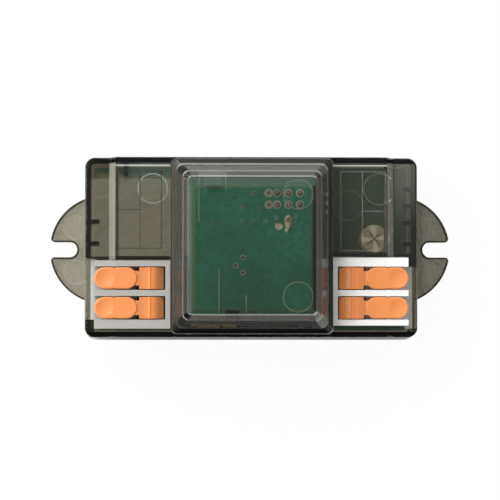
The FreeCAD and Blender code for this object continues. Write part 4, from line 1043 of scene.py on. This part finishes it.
def soft_lamp(name, place, size, power):
    """A square white lamp turned towards the object."""
    data = bpy.data.lights.new(name, "AREA")
    data.shape = "SQUARE"
    data.size = size
    data.energy = power
    lamp = bpy.data.objects.new(name, data)
    bpy.context.scene.collection.objects.link(lamp)
    lamp.rotation_euler = Vector(place).to_track_quat("Z", "Y").to_euler()
    lamp.location = place


def floor_finish():
    """A white floor that is mostly aglow to the camera, so that little shows of the shadows on it."""
    finish = Finish("studio floor")
    paper = finish.principled(Base_Color=(0.93, 0.93, 0.93, 1.0), Roughness=0.9)
    glow = finish.node("ShaderNodeEmission", None, {"Color": WHITE, "Strength": 1.0})
    rays = finish.node("ShaderNodeLightPath").socket.node
    seen = Link(finish, rays.outputs["Is Camera Ray"]) * CAMERA_GLOW
    seen = seen + Link(finish, rays.outputs["Is Glossy Ray"]) * OTHER_GLOW
    seen = seen + Link(finish, rays.outputs["Is Transmission Ray"]) * OTHER_GLOW
    return finish.shade(finish.mix_shader(seen, paper, glow))


def studio_sky(settings):
    """Soft light from a pale tent: dim overhead, brighter lower down, most of all at the back and left."""
    sky = Finish("studio sky", sky=True)
    x, y, z = sky.split("Generated")
    ring = (1.0 - sky.soft_step(z, 0.62, 0.80)) * sky.soft_step(z, 0.0, 0.25)
    side = sky.soft_step(y * 0.7 - x * 0.7, -0.6, 0.8)
    low = (1.0 - sky.soft_step(z, 0.2, 0.4)) * settings.low
    glow = ring * (side * settings.ring_side + settings.ring) + low + settings.fill
    return sky.shade(sky.node("ShaderNodeBackground", None, {"Color": WHITE, "Strength": glow}))


class SENSOR_OT_stage(bpy.types.Operator):
    """Set up the floor, the lamps and the camera"""

    bl_idname = "sensor.stage"
    bl_label = "Stage"

    def execute(self, context):
        settings = context.scene.sensor_stage
        shape = bmesh.new()
        bmesh.ops.create_grid(shape, x_segments=1, y_segments=1, size=FLOOR_HALF)
        mesh = bpy.data.meshes.new("floor")
        shape.to_mesh(mesh)
        shape.free()
        floor = bpy.data.objects.new("floor", mesh)
        context.scene.collection.objects.link(floor)
        mesh.materials.append(floor_finish())

        context.scene.world = studio_sky(settings)
        soft_lamp("key", KEY_PLACE, KEY_SIZE, settings.key)

        data = bpy.data.cameras.new("camera")
        data.lens = settings.lens
        data.sensor_width = SENSOR_WIDTH
        data.clip_start = CAMERA_NEAR
        camera = bpy.data.objects.new("camera", data)
        context.scene.collection.objects.link(camera)
        place = Vector(settings.camera_place)
        back = (place - Vector(CAMERA_AIM)).normalized()
        right = Vector((0, 1, 0)).cross(back).normalized()
        up = back.cross(right)
        turn = Matrix((right, up, back)).transposed().to_4x4()
        camera.matrix_world = Matrix.Translation(place) @ turn
        context.scene.camera = camera
        context.scene.view_settings.view_transform = "Standard"
        context.scene.cycles.transparent_max_bounces = 24
        return {"FINISHED"}


class SENSOR_PT_panel(bpy.types.Panel):
    """The sensor's steps and settings"""

    bl_idname = "SENSOR_PT_panel"
    bl_label = "Motion sensor"
    bl_space_type = "VIEW_3D"
    bl_region_type = "UI"
    bl_category = "Sensor"

    def draw(self, context):
        for operator in OPERATORS:
            self.layout.operator(operator.bl_idname)
        for name in SETTINGS:
            group = getattr(context.scene, name)
            for key in group.bl_rna.properties.keys():
                if key not in ("rna_type", "name"):
                    self.layout.prop(group, key)


SETTINGS = {
    "sensor_smoke": SmokeSettings,
    "sensor_board": BoardSettings,
    "sensor_terminal": TerminalSettings,
    "sensor_parts": PartSettings,
    "sensor_stage": StageSettings,
}
OPERATORS = (
    SENSOR_OT_case,
    SENSOR_OT_boards,
    SENSOR_OT_board_details,
    SENSOR_OT_terminals,
    SENSOR_OT_parts,
    SENSOR_OT_stage,
)


def register():
    """Register the classes and hang the settings on the scene."""
    for group in SETTINGS.values():
        bpy.utils.register_class(group)
    for name, group in SETTINGS.items():
        setattr(bpy.types.Scene, name, bpy.props.PointerProperty(type=group))
    for operator in OPERATORS:
        bpy.utils.register_class(operator)
    bpy.utils.register_class(SENSOR_PT_panel)


def unregister():
    """Take the classes and settings away again."""
    bpy.utils.unregister_class(SENSOR_PT_panel)
    for operator in reversed(OPERATORS):
        bpy.utils.unregister_class(operator)
    for name, group in SETTINGS.items():
        delattr(bpy.types.Scene, name)
        bpy.utils.unregister_class(group)


def main():
    """Run every step in order."""
    register()
    bpy.ops.sensor.case()
    bpy.ops.sensor.boards()
    bpy.ops.sensor.board_details()
    bpy.ops.sensor.terminals()
    bpy.ops.sensor.parts()
    bpy.ops.sensor.stage()


if __name__ == "__main__":
    main()
